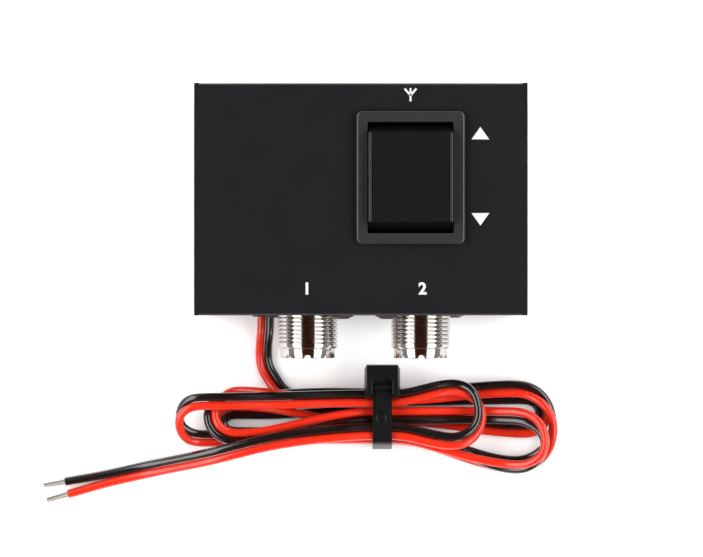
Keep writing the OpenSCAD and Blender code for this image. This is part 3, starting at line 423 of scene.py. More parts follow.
# Side, middle of the end, its half length and half width, layer out and back, three rolls
LOOPS = [
    (1, 39.9, 0.5, 4.6, 4.6, 0, 0, 0, 0, 0),
    (-1, 41.5, -2.3, 3.4, 3.4, 0, 0, 180, 180, 180),
    (1, 37, -3.2, 9.6, 10.5, 1, 1, 180, 90, 0),
    (-1, 39.5, 0.2, 7, 6.1, 2, 2, 120, 20, 0),
    (1, 36.4, -7, 7.6, 7, 2, 2, 0, 90, 130),
    (-1, 49.9, -1.1, 5.2, 5.2, 1, 3, 0, 90, 180),
    (1, 19.4, 0.5, 7.3, 7.3, 4, 4, 180, 300, 360),
]
SIDE_STEPS, TURN_STEPS = 9, 14
# Where the lead comes into the hank and where its end leaves it: x, y, layer, roll
HANK_START = [
    (-30.6, 10.7, 0, 180), (-29.35, 8.75, 0, 180), (-28.1, 6.8, 0, 150), (-25.5, 5.7, 0, 110),
    (-21, 5.2, 0, 50), (-16, 5, 0, 10), (-10, 4.8, 0, 0), (-PASS_HALF, 4.8, 0, 0),
]
HANK_END = [
    (-PASS_HALF, -4, 5, 360), (-9, -4.2, 5, 360), (-18, -5, 5, 360), (-28, -6.4, 5, 360),
    (-37, -8.4, 5, 360), (-46, -10.8, 5, 360), (-53, -12.4, 5, 360),
    (-60, -14, 5, 360), (-64, -14.92, 5, 360), (-66, -15.38, 5, 360), (-68, -15.84, 5, 360),
]
ROUTE_STEPS, HANK_STEPS = 3, 2
print("hank:", len(PASS_Y), "passes under the tie,", len(LOOPS), "loops")


# %% Curves through points
def ease(t):
    """Goes softly from 0 to 1."""
    u = min(1.0, max(0.0, t))
    return u * u * (3 - 2 * u)


def mix(a, b, t):
    """Goes softly from a to b while t goes from 0 to 1."""
    return a + (b - a) * ease(t)


def smooth(points, steps):
    """A Catmull-Rom curve through the points, with that many steps between each two."""
    p = np.asarray(points, float)
    curve = []
    for i in range(len(p) - 1):
        a, b, c, d = p[max(i - 1, 0)], p[i], p[i + 1], p[min(i + 2, len(p) - 1)]
        for t in np.arange(steps) / steps:
            curve.append(0.5 * (2 * b + (c - a) * t + (2 * a - 5 * b + 4 * c - d) * t ** 2
                                + (3 * b - a - 3 * c + d) * t ** 3))
    return np.array(curve + [p[-1]])


def headings(points):
    """The direction of travel at each point of a line."""
    way = np.vstack([points[1:], points[-1:]]) - np.vstack([points[:1], points[:-1]])
    return way / np.linalg.norm(way, axis=1, keepdims=True)


def along(points):
    """The length of a line up to each of its points."""
    return np.concatenate([[0], np.cumsum(np.linalg.norm(np.diff(points, axis=0), axis=1))])


# %% [markdown]
# ## The hank from above
# Each loop runs out from the tie, turns at its end and comes back to the next pass. Points for
# every bend would be hard to choose by hand, so two sides and half an ellipse make each loop
# from a few numbers. The loops follow one another without a break, as one piece of wire does.

# %% The hank seen from above
def loop_plan(k):
    """One loop: out along a side, round its end and back to the next pass under the tie."""
    side, end_x, end_y, end_l, end_w, out_layer, back_layer, *rolls = LOOPS[k]
    roll_in, roll_turn, roll_out = rolls
    up = 1 if PASS_Y[k] > PASS_Y[k + 1] else -1
    plan = []
    for t in np.arange(SIDE_STEPS) / SIDE_STEPS:
        plan.append((side * (PASS_HALF + (end_x - PASS_HALF) * t),
                     mix(PASS_Y[k], end_y + up * end_w, t),
                     out_layer, mix(PASS_ROLL[k], roll_in, t)))
    for t in np.arange(TURN_STEPS) / TURN_STEPS:
        roll = (roll_in + (roll_turn - roll_in) * ease(2 * t)
                + (roll_out - roll_turn) * ease(2 * t - 1))
        plan.append((side * (end_x + end_l * math.sin(math.pi * t)),
                     end_y + up * end_w * math.cos(math.pi * t),
                     out_layer if t < 0.5 else back_layer, roll))
    for t in 1 - np.arange(SIDE_STEPS + 1) / SIDE_STEPS:
        plan.append((side * (PASS_HALF + (end_x - PASS_HALF) * t),
                     mix(PASS_Y[k + 1], end_y - up * end_w, t),
                     back_layer, mix(PASS_ROLL[k + 1], roll_out, t)))
    return plan


def hank_plan():
    """The whole hank: x, y, layer and roll of each point, measured from the tie."""
    return np.vstack([smooth(HANK_START, HANK_STEPS)[:-1]]
                     + [loop_plan(k) for k in range(len(LOOPS))]
                     + [smooth(HANK_END, HANK_STEPS)[1:]])


# %% [markdown]
# ## How high each run lies
# A run that crosses others lies on them, and climbs and falls over some length because the
# wire is stiff. A rigid-body simulation could find this, but it would also move the loops.
# Here the heights are found by turns: lift whatever lies too low, ease the climbs, and repeat
# until nothing moves.

# %% Rules for the heights, in millimetres
# Play over a run that lies below, and how far beside it a run still counts as above it
HANK_GAP, SIDE_GAP = 0.8, 0.5
# Slope of a climb, and the length over which its top is rounded
CLIMB, CREST = 0.5, 4
# How far along the wire a run is still itself, how many points easing reaches, and the rounds
NEAR_ALONG, EASE_REACH, ROUNDS = 12, 16, 10
# The tie's strap under the hank, its slack, and how far to each side it lifts the wires
STRAP_T, STRAP_SLACK, LIFTED_HALF = 1.2, 0.25, 8


# %% Settle the hank's heights
def eased(heights, s):
    """Each height is at least what a gentle climb from its neighbours needs."""
    out = heights.copy()
    for step in range(-EASE_REACH, EASE_REACH + 1):
        near = np.clip(np.arange(len(s)) + step, 0, len(s) - 1)
        drop = CLIMB * (np.sqrt((s - s[near]) ** 2 + CREST ** 2) - CREST)
        out = np.maximum(out, heights[near] - drop)
    return out


def hank_route():
    """The centre line of the hank, with its roll and half spacing."""
    plan = hank_plan()
    s = along(plan[:, :2])
    roll = np.radians(plan[:, 3])
    wide = WIRE_R + PAIR_HALF * abs(np.cos(roll))
    tall = WIRE_R + PAIR_HALF * abs(np.sin(roll))
    rest = tall + np.where(abs(plan[:, 0]) < LIFTED_HALF, STRAP_T + STRAP_SLACK, 0)
    apart = np.linalg.norm(plan[:, None, :2] - plan[None, :, :2], axis=2)
    below = ((plan[None, :, 2] < plan[:, None, 2]) & (abs(s[:, None] - s[None]) > NEAR_ALONG)
             & (apart < wide[:, None] + wide[None] + SIDE_GAP))
    z = rest.copy()
    for _ in range(ROUNDS):
        lifts = np.where(below, z[None] + tall[:, None] + tall[None] + HANK_GAP, 0)
        z = eased(np.maximum(rest, lifts.max(axis=1)), s)
    ends = np.pad(z, 1, mode="edge")
    z = np.maximum((ends[:-2] + 2 * z + ends[2:]) / 4, tall)
    z[:3] = z[-3:] = WIRE_R
    return np.column_stack([TIE_X + plan[:, 0], TIE_Y + plan[:, 1], z, plan[:, 3],
                            np.full(len(z), PAIR_HALF)])


# %% [markdown]
# ## A line for each wire
# The route is the middle of the pair. Each wire runs beside it, and the roll turns the two
# about it, so red can lie over black without a second route that would have to match.

# %% One line for each wire of the pair
RED, BLACK = 1, -1


def conductor(route, side):
    """The line of one wire of the pair, to that side of the pair's own line."""
    h = headings(route[:, :3])
    left = np.column_stack([-h[:, 1], h[:, 0], np.zeros(len(h))])
    left /= np.linalg.norm(left, axis=1, keepdims=True)
    roll = np.radians(route[:, 3:4])
    across = np.cos(roll) * left + np.sin(roll) * np.cross(h, left)
    return route[:, :3] + side * route[:, 4:5] * across


lead_line, tail_line = smooth(LEAD_ROUTE, ROUTE_STEPS), smooth(TAIL_ROUTE, ROUTE_STEPS)
hank_line = hank_route()
wire_lines = {side: np.vstack([conductor(lead_line, side)[:-1], conductor(hank_line, side),
                               conductor(tail_line, side)[1:]]) for side in (RED, BLACK)}
print("hank:", len(hank_line), "points, top at", round(hank_line[:, 2].max(), 1), "mm")

# %% [markdown]
# ## The two wires
# Each wire is one unbroken tube along its line. A curve with a round bevel would make one too,
# but it twists where the line climbs. Here the rings carry their direction on from one to the
# next, so the tube never twists, and they lie a millimetre apart, so the bends look round.

# %% Pieces and their finishes
def new_piece(name, mesh_data, body, finish, replaced=()):
    """Puts a mesh in the scene on its CAD body, with its finish."""
    piece = bpy.data.objects.new(name, mesh_data)
    bpy.context.scene.collection.objects.link(piece)
    wear(piece, finish)
    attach(piece, body)
    if replaced:
        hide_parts(*replaced)
    return piece


def smooth_faces(mesh_data, angle=35):
    """Shades a mesh smoothly, but keeps edges that turn by more than that many degrees."""
    mesh_data.shade_smooth()
    mesh_data.set_sharp_from_angle(angle=math.radians(angle))


# %% Tube along a line
TUBE_SIDES = 20


def carried_normals(h):
    """Directions square to a line that turn no more than the line does."""
    start = np.array([0, 0, 1.0]) if abs(h[0][2]) < 0.9 else np.array([1.0, 0, 0])
    normals = []
    for way in h:
        start = start - (start @ way) * way
        start = start / np.linalg.norm(start)
        normals.append(start)
    return np.array(normals)


def tube_mesh(name, lines, radii, sides=TUBE_SIDES):
    """One mesh of closed tubes, each round its own line and with its own radius."""
    turn = np.arange(sides) * 2 * math.pi / sides
    points, faces = [], []
    for line, radius in zip(lines, radii):
        h = headings(line)
        n = carried_normals(h)
        b = np.cross(h, n)
        first = len(points)
        for i in range(len(line)):
            ring = np.outer(np.cos(turn), n[i]) + np.outer(np.sin(turn), b[i])
            points.extend(line[i] + radius * ring)
        for i in range(len(line) - 1):
            for k in range(sides):
                a, c = first + i * sides + k, first + i * sides + (k + 1) % sides
                faces.append((a, c, c + sides, a + sides))
        last = first + (len(line) - 1) * sides
        faces.append(tuple(range(first + sides - 1, first - 1, -1)))
        faces.append(tuple(range(last, last + sides)))
    made = bpy.data.meshes.new(name)
    made.from_pydata([tuple(p) for p in np.array(points) * MM], [], faces)
    smooth_faces(made)
    return made


# %% [markdown]
# ## Wire that eases its own corners
# The route's points are right where the cord is seen, but a curve through a few points has
# corners that no wire has. A stiff wire spreads each bend over some length. Averaging the line
# with a bell-shaped weight does the same, over 1.5 mm everywhere and, where the free end comes
# down from the hank with nothing under it, over 5 mm in height.

# %% Ease the corners
RING_MM = 1.0
STIFF_MM = 1.5
FALL_MM = 5.0
FREE_END_MM = 70


def spread_out(values, reach_mm):
    """Evens a row of values, a millimetre apart, out over that reach. Both ends stay."""
    half = int(3 * reach_mm / RING_MM)
    weight = np.exp(-((np.arange(-half, half + 1) * RING_MM / reach_mm) ** 2) / 2)
    padded = np.concatenate([2 * values[0] - values[half:0:-1], values,
                             2 * values[-1] - values[-2:-half - 2:-1]])
    return np.convolve(padded, weight / weight.sum(), "valid")


def laid(line):
    """The line in even steps, with its corners eased as a stiff wire eases them."""
    s = along(line)
    even = np.linspace(0, s[-1], round(s[-1] / RING_MM) + 1)
    x, y, z = (np.interp(even, s, column) for column in line.T)
    free = np.clip((even - even[-1] + FREE_END_MM) / FALL_MM, 0, 1)
    height = spread_out(z, STIFF_MM) * (1 - free) + spread_out(z, FALL_MM) * free
    return np.column_stack([spread_out(x, STIFF_MM), spread_out(y, STIFF_MM),
                            np.maximum(height, WIRE_R)])


wire_lines = {side: laid(line) for side, line in wire_lines.items()}
print("wire lines eased:", len(wire_lines))

# %% [markdown]
# ## Stripped ends
# The last few millimetres of each wire are bare: seven tinned strands, one in the middle and
# six wound round it. A plain rod would look solid, so each strand is its own thin tube on a
# helix, and they start just inside the insulation, where the cut would show them.

# %% Seven tinned strands, twisted
STRAND_R = 0.21
STRAND_SIDES, STRAND_RINGS = 8, 14
LAY_MM = 9
STARTS_INSIDE = 0.5


def strand_lines(line):
    """A middle strand and six round it, from inside the insulation to the tip."""
    ahead = line[-1] - line[-2]
    ahead /= np.linalg.norm(ahead)
    sideways = np.cross(ahead, [0, 0, 1.0])
    sideways /= np.linalg.norm(sideways)
    upward = np.cross(sideways, ahead)
    reach = np.linspace(-STARTS_INSIDE, TIP_LEN, STRAND_RINGS)
    core = line[-1] + np.outer(reach, ahead)
    lines = [core]
    for k in range(6):
        turn = math.pi * k / 3 + 2 * math.pi * reach / LAY_MM
        around = np.outer(np.cos(turn), sideways) + np.outer(np.sin(turn), upward)
        lines.append(core + 2 * STRAND_R * around)
    return lines


strands = [line for side in (RED, BLACK) for line in strand_lines(wire_lines[side])]
tips = new_piece("stripped_tips",
                 tube_mesh("stripped_tips", strands, [STRAND_R] * len(strands), STRAND_SIDES),
                 "case", tinned_copper, ["lead_tips"])
print("strands:", len(strands))

# %% [markdown]
# ## Cords
# Each wire becomes one tube piece along its eased line, in its own PVC, on the case's body,
# and stands for the three solids of its lead, which are hidden.

# %% The two wire pieces
for side, name, finish in ((RED, "red", red_pvc), (BLACK, "black", black_pvc)):
    line = wire_lines[side]
    piece = new_piece(f"wire_{name}", tube_mesh(f"wire_{name}", [line], [WIRE_R]), "case",
                      finish,
                      [f"lead_start_{name}", f"hank_{name}", f"lead_end_{name}"])

# %% [markdown]
# ## Edges that catch the light
# Sheet metal and mouldings have no knife edges. The solid's own mesh stays as it is; a copy of
# it gets a Bevel modifier, which rounds only the edges that turn by more than a set angle, and
# stands for the solid. A bevel only takes material away, so the piece keeps its outer size.

# %% Copies with rounded edges
EDGE_ANGLE = 32
EDGE_SEGMENTS = 3
FLAT_ANGLE = 0.2
MERGE_M = 1e-6
# Each node's rounding in millimetres and its material slot
ROUNDED = {
    "front_shell": (0.2, "enamel"), "back_cover": (0.2, "enamel"),
    "cover_screws": (0.12, "black_steel"), "switch_housing": (0.25, "nylon"),
    "rocker": (0.3, "nylon"), "left_jack_rivets": (0.15, "black_steel"),
    "right_jack_rivets": (0.15, "black_steel"), "grommet": (0.15, "rubber"),
    "cable_tie": (0.35, "tie_nylon"),
}


def open_copy(node):
    """A copy of a solid's mesh, and its shape to edit, with doubled corners merged."""
    copy = frame["nodes"][node].data.copy()
    shape = bmesh.new()
    shape.from_mesh(copy)
    bmesh.ops.remove_doubles(shape, verts=shape.verts, dist=MERGE_M)
    return copy, shape


def close_up(shape, mesh_data):
    """Writes an edited shape back to its mesh."""
    shape.to_mesh(mesh_data)
    shape.free()


def softened(node, radius_mm):
    """A copy of a solid with its sharp edges rounded, which stands for it."""
    copy, shape = open_copy(node)
    bmesh.ops.dissolve_limit(shape, angle_limit=math.radians(FLAT_ANGLE), verts=shape.verts,
                             edges=shape.edges)
    close_up(shape, copy)
    copy.name = node + "_finished"
    smooth_faces(copy, EDGE_ANGLE)
    body = frame["nodes"][node]["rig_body"]
    piece = new_piece(node + "_finished", copy, body, FINISH_OF_NODE[node], [node])
    bevel = piece.modifiers.new("rounded edges", "BEVEL")
    bevel.width = radius_mm * MM
    bevel.segments = EDGE_SEGMENTS
    bevel.limit_method = "ANGLE"
    bevel.angle_limit = math.radians(EDGE_ANGLE)
    bevel.harden_normals = True


for node, (radius_mm, slot) in ROUNDED.items():
    softened(node, radius_mm)
print("finished copies:", len(ROUNDED))

# %% [markdown]
# ## The switch's bright edges
# Two things catch the light on the switch: the rounded rim of the bezel, rubbed bright, and
# the two raised rims along the rocker's sides, whose tops fall outwards. A bevel would give
# them the housing's dull finish, so each is its own slim piece. The bezel's is a tube laid in
# the corner that the rounding leaves, and the rims are prisms, drawn as a section and run
# along Y.

# %% Prisms, for slim facets and for print
def prisms(name, outlines, low, high, along_y=False):
    """Closed prisms with those outlines, in millimetres, from low to high along Z or along Y."""
    points, faces = [], []
    for outline in outlines:
        first, n = len(points), len(outline)
        for level in (low, high):
            points += [Vector((a, level, b) if along_y else (a, b, level)) * MM
                       for a, b in outline]
        faces.append(tuple(range(first + n, first + 2 * n)))
        faces.append(tuple(range(first + n - 1, first - 1, -1)))
        faces += [(first + k, first + (k + 1) % n, first + n + (k + 1) % n, first + n + k)
                  for k in range(n)]
    made = bpy.data.meshes.new(name)
    made.from_pydata(points, [], faces)
    shape = bmesh.new()
    shape.from_mesh(made)
    bmesh.ops.recalc_face_normals(shape, faces=shape.faces)
    close_up(shape, made)
    return made


def facet(x_in, x_out, top, fall, deep):
    """Section of a slim facet whose top falls outwards from x_in to x_out."""
    return [(x_in, top), (x_out, top - fall), (x_out, top - deep), (x_in, top - deep)]


# %% A rounded bezel and the rocker's two raised rims
SWITCH_X, SWITCH_Y = 12.8, 5.5
BEZEL_HALF = (14.0, 17.1)
BEZEL_TOP, BEZEL_ROUND, BEZEL_CORNER = 40.0, 0.6, 1.5
CORNER_STEPS = 6
ROCKER_TOP, FACE_HALF = 43.0, 11.45
RIM_IN, RIM_OUT, RIM_FALL, RIM_DEEP = 10.17, 10.74, 0.22, 0.55


def bezel_loop():
    """The middle line of the rounding, once round, from the middle of the lower side."""
    half_x, half_y = (half - BEZEL_CORNER for half in BEZEL_HALF)
    turn_r = BEZEL_CORNER - BEZEL_ROUND
    line = [(0, -half_y - turn_r)]
    for k, (sx, sy) in enumerate(((1, -1), (1, 1), (-1, 1), (-1, -1))):
        for step in range(CORNER_STEPS + 1):
            a = math.radians(90 * (k - 1 + step / CORNER_STEPS))
            line.append((sx * half_x + turn_r * math.cos(a), sy * half_y + turn_r * math.sin(a)))
    line.append(line[0])
    return np.array([(SWITCH_X + x, SWITCH_Y + y, BEZEL_TOP - BEZEL_ROUND) for x, y in line])


new_piece("bezel_rounding", tube_mesh("bezel_rounding", [bezel_loop()], [BEZEL_ROUND]), "case",
          rubbed_nylon)
rims = [facet(SWITCH_X + side * RIM_IN, SWITCH_X + side * RIM_OUT, ROCKER_TOP, RIM_FALL,
              RIM_DEEP) for side in (-1, 1)]
new_piece("rocker_rims",
          prisms("rocker_rims", rims, SWITCH_Y - FACE_HALF, SWITCH_Y + FACE_HALF, along_y=True),
          "rocker", rubbed_nylon)
print("rocker rims:", len(rims), "each", round(RIM_OUT - RIM_IN, 2), "mm wide")

# %% [markdown]
# ## Mould marks of the cable tie
# The head of a cable tie has drafted sides and a slot whose edges catch the light. Its strap
# has a round mark where the mould's pin pushed it out. The solid has none of these, as they
# are too slight for it, and a bump would miss their outline. They are laid on it as two slim
# facets, a thin tube round the slot and a ring of thicker tube, half sunk in the strap.

# %% The head's sloped sides, the edges of its slot and a ring
TIE_HEAD_X, TIE_HEAD_TOP = (1.75, 10.05), 13.57
TIE_HEAD_Y = (-50.9, -44.3)
LEFT_SLOPE, LEFT_FALL = 0.35, 0.14
RIGHT_SLOPE, RIGHT_FALL = 0.7, 0.27
SLOPE_DEEP = 1.0
SLOT_X, SLOT_Y = (3.1, 8.7), (-51.3, -47.4)
RING_AT, RING_R, RING_WIRE = (5.6, -58.0, 11.98), 1.25, 0.28
EDGE_R = 0.18
RING_POINTS, MARK_SIDES = 25, 12

slopes = [facet(TIE_HEAD_X[0] + LEFT_SLOPE, TIE_HEAD_X[0], TIE_HEAD_TOP, LEFT_FALL, SLOPE_DEEP),
          facet(TIE_HEAD_X[1] - RIGHT_SLOPE, TIE_HEAD_X[1], TIE_HEAD_TOP, RIGHT_FALL,
                SLOPE_DEEP)]
new_piece("tie_head_sides", prisms("tie_head_sides", slopes, *TIE_HEAD_Y, along_y=True), "case",
          tie_nylon)
turn = np.linspace(0, 2 * math.pi, RING_POINTS)
ring = np.column_stack([RING_AT[0] + RING_R * np.cos(turn), RING_AT[1] + RING_R * np.sin(turn),
                        np.full(len(turn), RING_AT[2])])
slot_edge = np.array([(x, y, TIE_HEAD_TOP - EDGE_R / 2) for x, y in
                      ((SLOT_X[0], SLOT_Y[0]), (SLOT_X[0], SLOT_Y[1]),
                       (SLOT_X[1], SLOT_Y[1]), (SLOT_X[1], SLOT_Y[0]))])
new_piece("tie_marks",
          tube_mesh("tie_marks", [ring, slot_edge], [RING_WIRE, EDGE_R], MARK_SIDES), "case",
          tie_nylon)
print("tie marks: ring of", 2 * RING_R, "mm, slot", round(SLOT_X[1] - SLOT_X[0], 1), "mm wide")

# %% [markdown]
# ## The sockets
# An SO-239 socket has a 5/8-24 thread. A thread is a helix, so a ring-by-ring lathe shape won't
# do: here the radius of each point depends on both its angle and its height, which winds one
# ridge round the barrel. The lip beyond it has eight notches for the plug's teeth, made by
# letting the height of the rim depend on the angle.

# %% Sizes of a socket, in millimetres from inside the wall
SOCKET_X = {"left": -13.9, "right": 15.9}
SOCKET_Z = 22
WALL_IN_Y = -28.8
SHEET_T = 1.2
THREAD_R, THREAD_END = 15.875 / 2, 9.3
PITCH = 25.4 / 24
COLLAR_END = 10.1
LIP_R, JACK_LEN = 7.2, 12.6
RECESS_R, SHOULDER = 6.1, 5.1
INSULATOR_R = 5.2
NOTCHES, NOTCH_R, NOTCH_DEEP = 8, 0.8, 0.9
print("thread:", round((THREAD_END - SHEET_T) / PITCH, 1), "turns of", round(PITCH, 3), "mm")


# %% Notches of the lip
NOTCH_ANGLES = [0, 1.6, 3.2, 4.6, 5.6, 6.3, 6.7, 6.9, 7.1, 10, 14, 18]


def rim_angles():
    """Angles round the barrel, close together where the notches are."""
    sector = 360 / NOTCHES
    one = sorted(set([-a for a in NOTCH_ANGLES] + NOTCH_ANGLES)) + [sector / 2]
    return np.radians([sector * i + a for i in range(NOTCHES) for a in one])


def rim_height(theta):
    """Height of the lip at an angle: lower across a round-bottomed notch."""
    sector = 2 * math.pi / NOTCHES
    x = (LIP_R + RECESS_R) / 2 * math.sin((theta + sector / 2) % sector - sector / 2)
    if abs(x) >= NOTCH_R:
        return JACK_LEN
    return JACK_LEN - (NOTCH_DEEP - NOTCH_R) - math.sqrt(NOTCH_R ** 2 - x ** 2)


# %% Winding of the thread
THREAD_DEPTH = 0.45
CREST_SHARE = 0.42
CREST_DOWN = 0.08
RUN_IN, RUN_OUT = 0.8, 0.25
ROWS_PER_TURN = 12


def thread_radius(z, theta):
    """Radius of the rolled thread: flat crests, round roots, running out at both ends."""
    away = abs((z / PITCH - theta / (2 * math.pi)) % 1 - 0.5) * 2
    groove = ease((away - CREST_SHARE) / (1 - CREST_SHARE))
    full = min(1.0, max(0.0, (z - SHEET_T) / RUN_IN), max(0.0, (THREAD_END - z) / RUN_OUT))
    return THREAD_R - CREST_DOWN - THREAD_DEPTH * groove * full


# %% [markdown]
# ## Barrel and flange
# A thread can't be cut into the solid, because solids stay as they are. So the barrel is a new
# mesh, a grid of rows and angles from the wall over the lip and down to the insulator. The flat
# flange needs no finer shape: a copy of the solid, cut off just inside the wall, gives it.

# %% Barrel of a socket
INSIDE_WALL = 0.3
PLAIN_R = THREAD_R - 0.4
BARREL_EDGE_ANGLE = 40
# Height and radius over the collar, which is rounded down from the thread to the lip
COLLAR = [(THREAD_END + 0.1, THREAD_R - 0.1), (COLLAR_END - 0.35, THREAD_R - 0.12),
          (COLLAR_END - 0.1, THREAD_R - 0.3), (COLLAR_END, LIP_R)]
# Depth under the notched rim and radius, over the lip and into the mouth
LIP = [(0.12, LIP_R), (0, LIP_R - 0.1), (0, RECESS_R + 0.15), (0.15, RECESS_R)]
# Height and radius down the recess, over its shoulder and along the insulator's bore
BORE = [(SHOULDER + 0.1, RECESS_R), (SHOULDER, RECESS_R - 0.1), (SHOULDER, INSULATOR_R),
        (INSIDE_WALL, INSULATOR_R)]


def barrel_rows(angles):
    """Rows of heights and radii, a pair for each angle, from the wall to the bore."""
    rows = [[(z, PLAIN_R) for a in angles] for z in (INSIDE_WALL, SHEET_T)]
    rows += [[(z, thread_radius(z, a)) for a in angles]
             for z in np.arange(SHEET_T, THREAD_END, PITCH / ROWS_PER_TURN)]
    rows += [[(z, r) for a in angles] for z, r in COLLAR]
    rows += [[(rim_height(a) - down, r) for a in angles] for down, r in LIP]
    rows += [[(z, r) for a in angles] for z, r in BORE]
    return rows


def socket_barrel(name, x):
    """The visible part of one socket, as a grid of rows and angles."""
    angles = rim_angles()
    rows = barrel_rows(angles)
    points = [Vector((x + r * math.sin(a), WALL_IN_Y - z, SOCKET_Z + r * math.cos(a))) * MM
              for row in rows for a, (z, r) in zip(angles, row)]
    count = len(angles)
    faces = [(i * count + k, (i + 1) * count + k, (i + 1) * count + (k + 1) % count,
              i * count + (k + 1) % count) for i in range(len(rows) - 1) for k in range(count)]
    made = bpy.data.meshes.new(name)
    made.from_pydata(points, [], faces)
    smooth_faces(made, BARREL_EDGE_ANGLE)
    return made


# %% Flange of a socket
def socket_flange(node):
    """The solid's own flange, cut off inside the wall where the barrel takes over."""
    copy, shape = open_copy(node)
    bmesh.ops.bisect_plane(shape, geom=shape.verts[:] + shape.edges[:] + shape.faces[:],
                           plane_co=(0, (WALL_IN_Y - INSIDE_WALL) * MM, 0),
                           plane_no=(0, -1, 0), clear_outer=True)
    close_up(shape, copy)
    smooth_faces(copy)
    return copy


# %% Place both sockets
for side, x in SOCKET_X.items():
    node = side + "_jack_shell"
    barrel = new_piece(side + "_jack_barrel", socket_barrel(side + "_jack_barrel", x), "case",
                       nickel_plate, [node])
    new_piece(side + "_jack_flange", socket_flange(node), "case", nickel_plate, [node])
    print(side, "barrel:", len(barrel.data.polygons), "faces")

# %% [markdown]
# ## Screen print
# The panel carries white marks beside the switch and over the sockets. Here they are generic:
# two arrows, an aerial symbol and plain numerals. A texture would need an image, and real ink
# is a few hundredths of a millimetre thick, so each mark is a very thin plate on the panel.

# %% Printed marks
PANEL_TOP = 38.0
INK_T = 0.03
ARROW_X, ARROW_Y = 30.8, (17.0, -5.2)
ARROW_W, ARROW_H = 4.6, 3.2
AERIAL_X, AERIAL_Y = 12.8, 26.9
MAST_HALF, STROKE = 1.7, 0.5
ARM_FROM, ARM_TO = -0.2, (1.5, 1.6)


def print_mark(name, outlines):
    """Thin plates with those outlines, in millimetres on the panel."""
    new_piece(name, prisms(name, outlines, PANEL_TOP, PANEL_TOP + INK_T), "case",
              screen_ink)


def arrow(y, up):
    """A triangle beside the switch that points up or, for -1, down."""
    base, tip = y - up * ARROW_H / 2, y + up * ARROW_H / 2
    return [(ARROW_X - up * ARROW_W / 2, base), (ARROW_X + up * ARROW_W / 2, base),
            (ARROW_X, tip)]


def bar(a, b):
    """A stroke of a symbol from a to b."""
    way = (Vector(b) - Vector(a)).normalized() * STROKE / 2
    side = Vector((-way.y, way.x))
    return [Vector(a) - side, Vector(b) - side, Vector(b) + side, Vector(a) + side]


print_mark("mark_up", [arrow(ARROW_Y[0], 1)])
print_mark("mark_down", [arrow(ARROW_Y[1], -1)])
fork = (AERIAL_X, AERIAL_Y + ARM_FROM)
print_mark("mark_aerial", [
    bar((AERIAL_X, AERIAL_Y - MAST_HALF), (AERIAL_X, AERIAL_Y + MAST_HALF)),
    bar(fork, (AERIAL_X - ARM_TO[0], AERIAL_Y + ARM_TO[1])),
    bar(fork, (AERIAL_X + ARM_TO[0], AERIAL_Y + ARM_TO[1]))])

# %% [markdown]
# ## Numerals
# Blender's own font has plain numerals, so none has to be drawn. A text object isn't exported,
# so it is made as thick as the ink and turned into a mesh, and the text is taken away again.

# %% Numerals over the sockets
NUMERAL_MM = 4.2
NUMERAL_Y = -23.2
NUMERAL_BOLD = 0.14


def numeral(text, x):
    """A numeral in Blender's own plain font, turned into a mesh."""
    words = bpy.data.curves.new("numeral_" + text, "FONT")
    words.body = text
    words.size = NUMERAL_MM * MM
    words.align_x = words.align_y = "CENTER"
    words.extrude = INK_T * MM / 2
    words.offset = NUMERAL_BOLD * MM
    drawn = bpy.data.objects.new("numeral_curve", words)
    bpy.context.scene.collection.objects.link(drawn)
    bpy.context.view_layer.update()
    made = bpy.data.meshes.new_from_object(drawn)
    bpy.data.objects.remove(drawn)
    made.transform(Matrix.Translation(Vector((x, NUMERAL_Y, PANEL_TOP + INK_T / 2)) * MM))
    new_piece("mark_" + text, made, "case", screen_ink)


numeral("1", SOCKET_X["left"])
numeral("2", SOCKET_X["right"])

# %% [markdown]
# ## The table
# The table is white by its colour and by a little light of its own that only the camera and
# mirrors see, so it is white in the picture without more light on the unit. Between the wires
# that glow would shine as thin white lines. Ambient occlusion measures how closely a spot is
# hemmed in, and takes the glow away there, so the unit keeps its shadow.

# %% Table
TABLE_HALF = 1.6
TABLE_GLOW = 0.6
HEMMED_IN_MM = 8
table = bpy.data.objects.new("table", bpy.data.meshes.new("table"))
table.data.from_pydata([(x * TABLE_HALF, y * TABLE_HALF, 0) for x, y in
                        ((-1, -1), (1, -1), (1, 1), (-1, 1))], [], [(0, 1, 2, 3)])
bpy.context.scene.collection.objects.link(table)


def make_table_white():
    """White that shines a little to the camera, but not where things stand close about it."""
    made = bpy.data.materials.new("table_white")
    made.use_nodes = True
    tree = made.node_tree
    tree.nodes.clear()
    path = add(tree, "LightPath")
    seen = add(tree, "Math", {0: path.outputs["Is Camera Ray"],
                              1: path.outputs["Is Glossy Ray"]}, operation="MAXIMUM")
    open_to = add(tree, "AmbientOcclusion", {"Distance": HEMMED_IN_MM * MM})
    lit = add(tree, "Math", {0: open_to.outputs["AO"], 1: seen}, operation="MULTIPLY")
    strength = add(tree, "Math", {0: lit, 1: TABLE_GLOW}, operation="MULTIPLY")
    paper = add(tree, "BsdfDiffuse", {"Color": linear("#f4f4f4")})
    glow = add(tree, "Emission", {"Color": linear("#ffffff"), "Strength": strength})
    both = add(tree, "AddShader", {0: paper, 1: glow})
    add(tree, "OutputMaterial", {"Surface": both})
    return made


table.data.materials.append(make_table_white())
print("table:", 2 * TABLE_HALF, "m wide")

# %% [markdown]
# ## Light
# The unit lies between two soft boxes, with a dark ceiling over the camera. That is what the
# sockets show: a dark brown band in the middle, a white one on each side and grey towards the
# edges. The boxes are area lamps, whose size makes the shadows soft, and the rest of the room
# is the world's colour, which depends on the direction it is seen in.

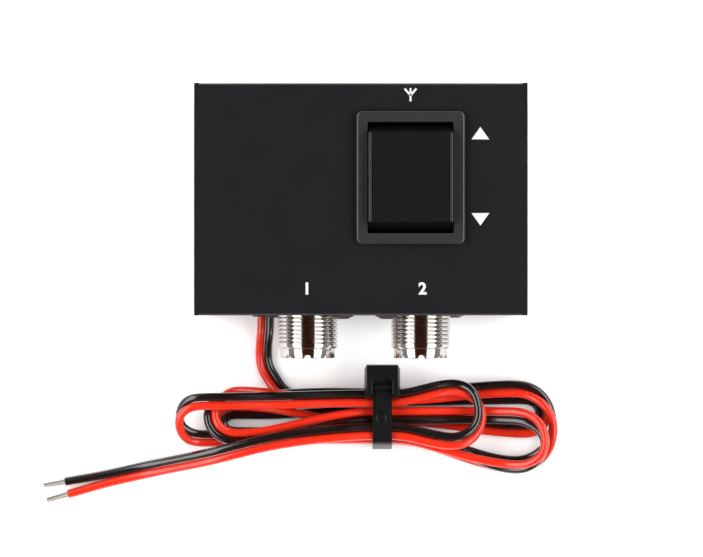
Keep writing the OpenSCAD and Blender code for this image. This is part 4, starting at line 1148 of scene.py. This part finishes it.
# %% Soft boxes to the left and right
BOX_SIZE = (0.5, 1.4)
BOX_AWAY = 0.85
BOX_Y = -0.01
BOX_TILT = 43
BOX_WATTS = 7.5
for side, name in ((-1, "left_softbox"), (1, "right_softbox")):
    lamp = bpy.data.lights.new(name, "AREA")
    lamp.shape = "RECTANGLE"
    lamp.size, lamp.size_y = BOX_SIZE
    lamp.energy = BOX_WATTS
    placed = bpy.data.objects.new(name, lamp)
    tilt = math.radians(side * BOX_TILT)
    placed.location = (BOX_AWAY * math.sin(tilt), BOX_Y, BOX_AWAY * math.cos(tilt))
    placed.rotation_euler = (0, tilt, 0)
    bpy.context.scene.collection.objects.link(placed)
    print(name, "at", [round(v, 2) for v in placed.location], "m")

# %% Room: white behind the table, dark brown over the camera, grey between
# Where each colour lies, from 0 overhead to 1 at the horizon
CEILING, WALL, HORIZON = (0.4, "#4a2416"), (0.55, "#9a9186"), (1.0, "#abaaa8")
DOWNWARD = -1.1
ROOM_STRENGTH = 0.9


def make_room():
    """A world that runs from the ceiling's colour to the horizon's, and is white to the camera."""
    world = bpy.data.worlds.new("room")
    world.use_nodes = True
    tree = world.node_tree
    tree.nodes.clear()
    way = add(tree, "SeparateXYZ", {0: add(tree, "TexCoord").outputs["Generated"]})
    sideways = add(tree, "Math", {0: way.outputs["X"]}, operation="ABSOLUTE")
    low = add(tree, "Math", {0: way.outputs["Z"], 1: DOWNWARD, 2: 1.0},
              operation="MULTIPLY_ADD")
    ramp = add(tree, "ValToRGB", {"Fac": add(tree, "Math", {0: sideways, 1: low},
                                             operation="MAXIMUM")})
    stops = ramp.color_ramp.elements
    for stop, (position, colour) in zip(stops, (CEILING, HORIZON)):
        stop.position, stop.color = position, linear(colour)
    stops.new(WALL[0]).color = linear(WALL[1])
    path = add(tree, "LightPath")
    around = add(tree, "Background", {"Color": ramp, "Strength": ROOM_STRENGTH})
    white = add(tree, "Background", {"Color": linear("#ffffff"), "Strength": 1.0})
    seen = add(tree, "MixShader", {0: path.outputs["Is Camera Ray"], 1: around, 2: white})
    add(tree, "OutputWorld", {"Surface": seen})
    return world


bpy.context.scene.world = make_room()
bpy.context.scene.view_settings.view_transform = "Standard"
print("world:", bpy.context.scene.world.name)
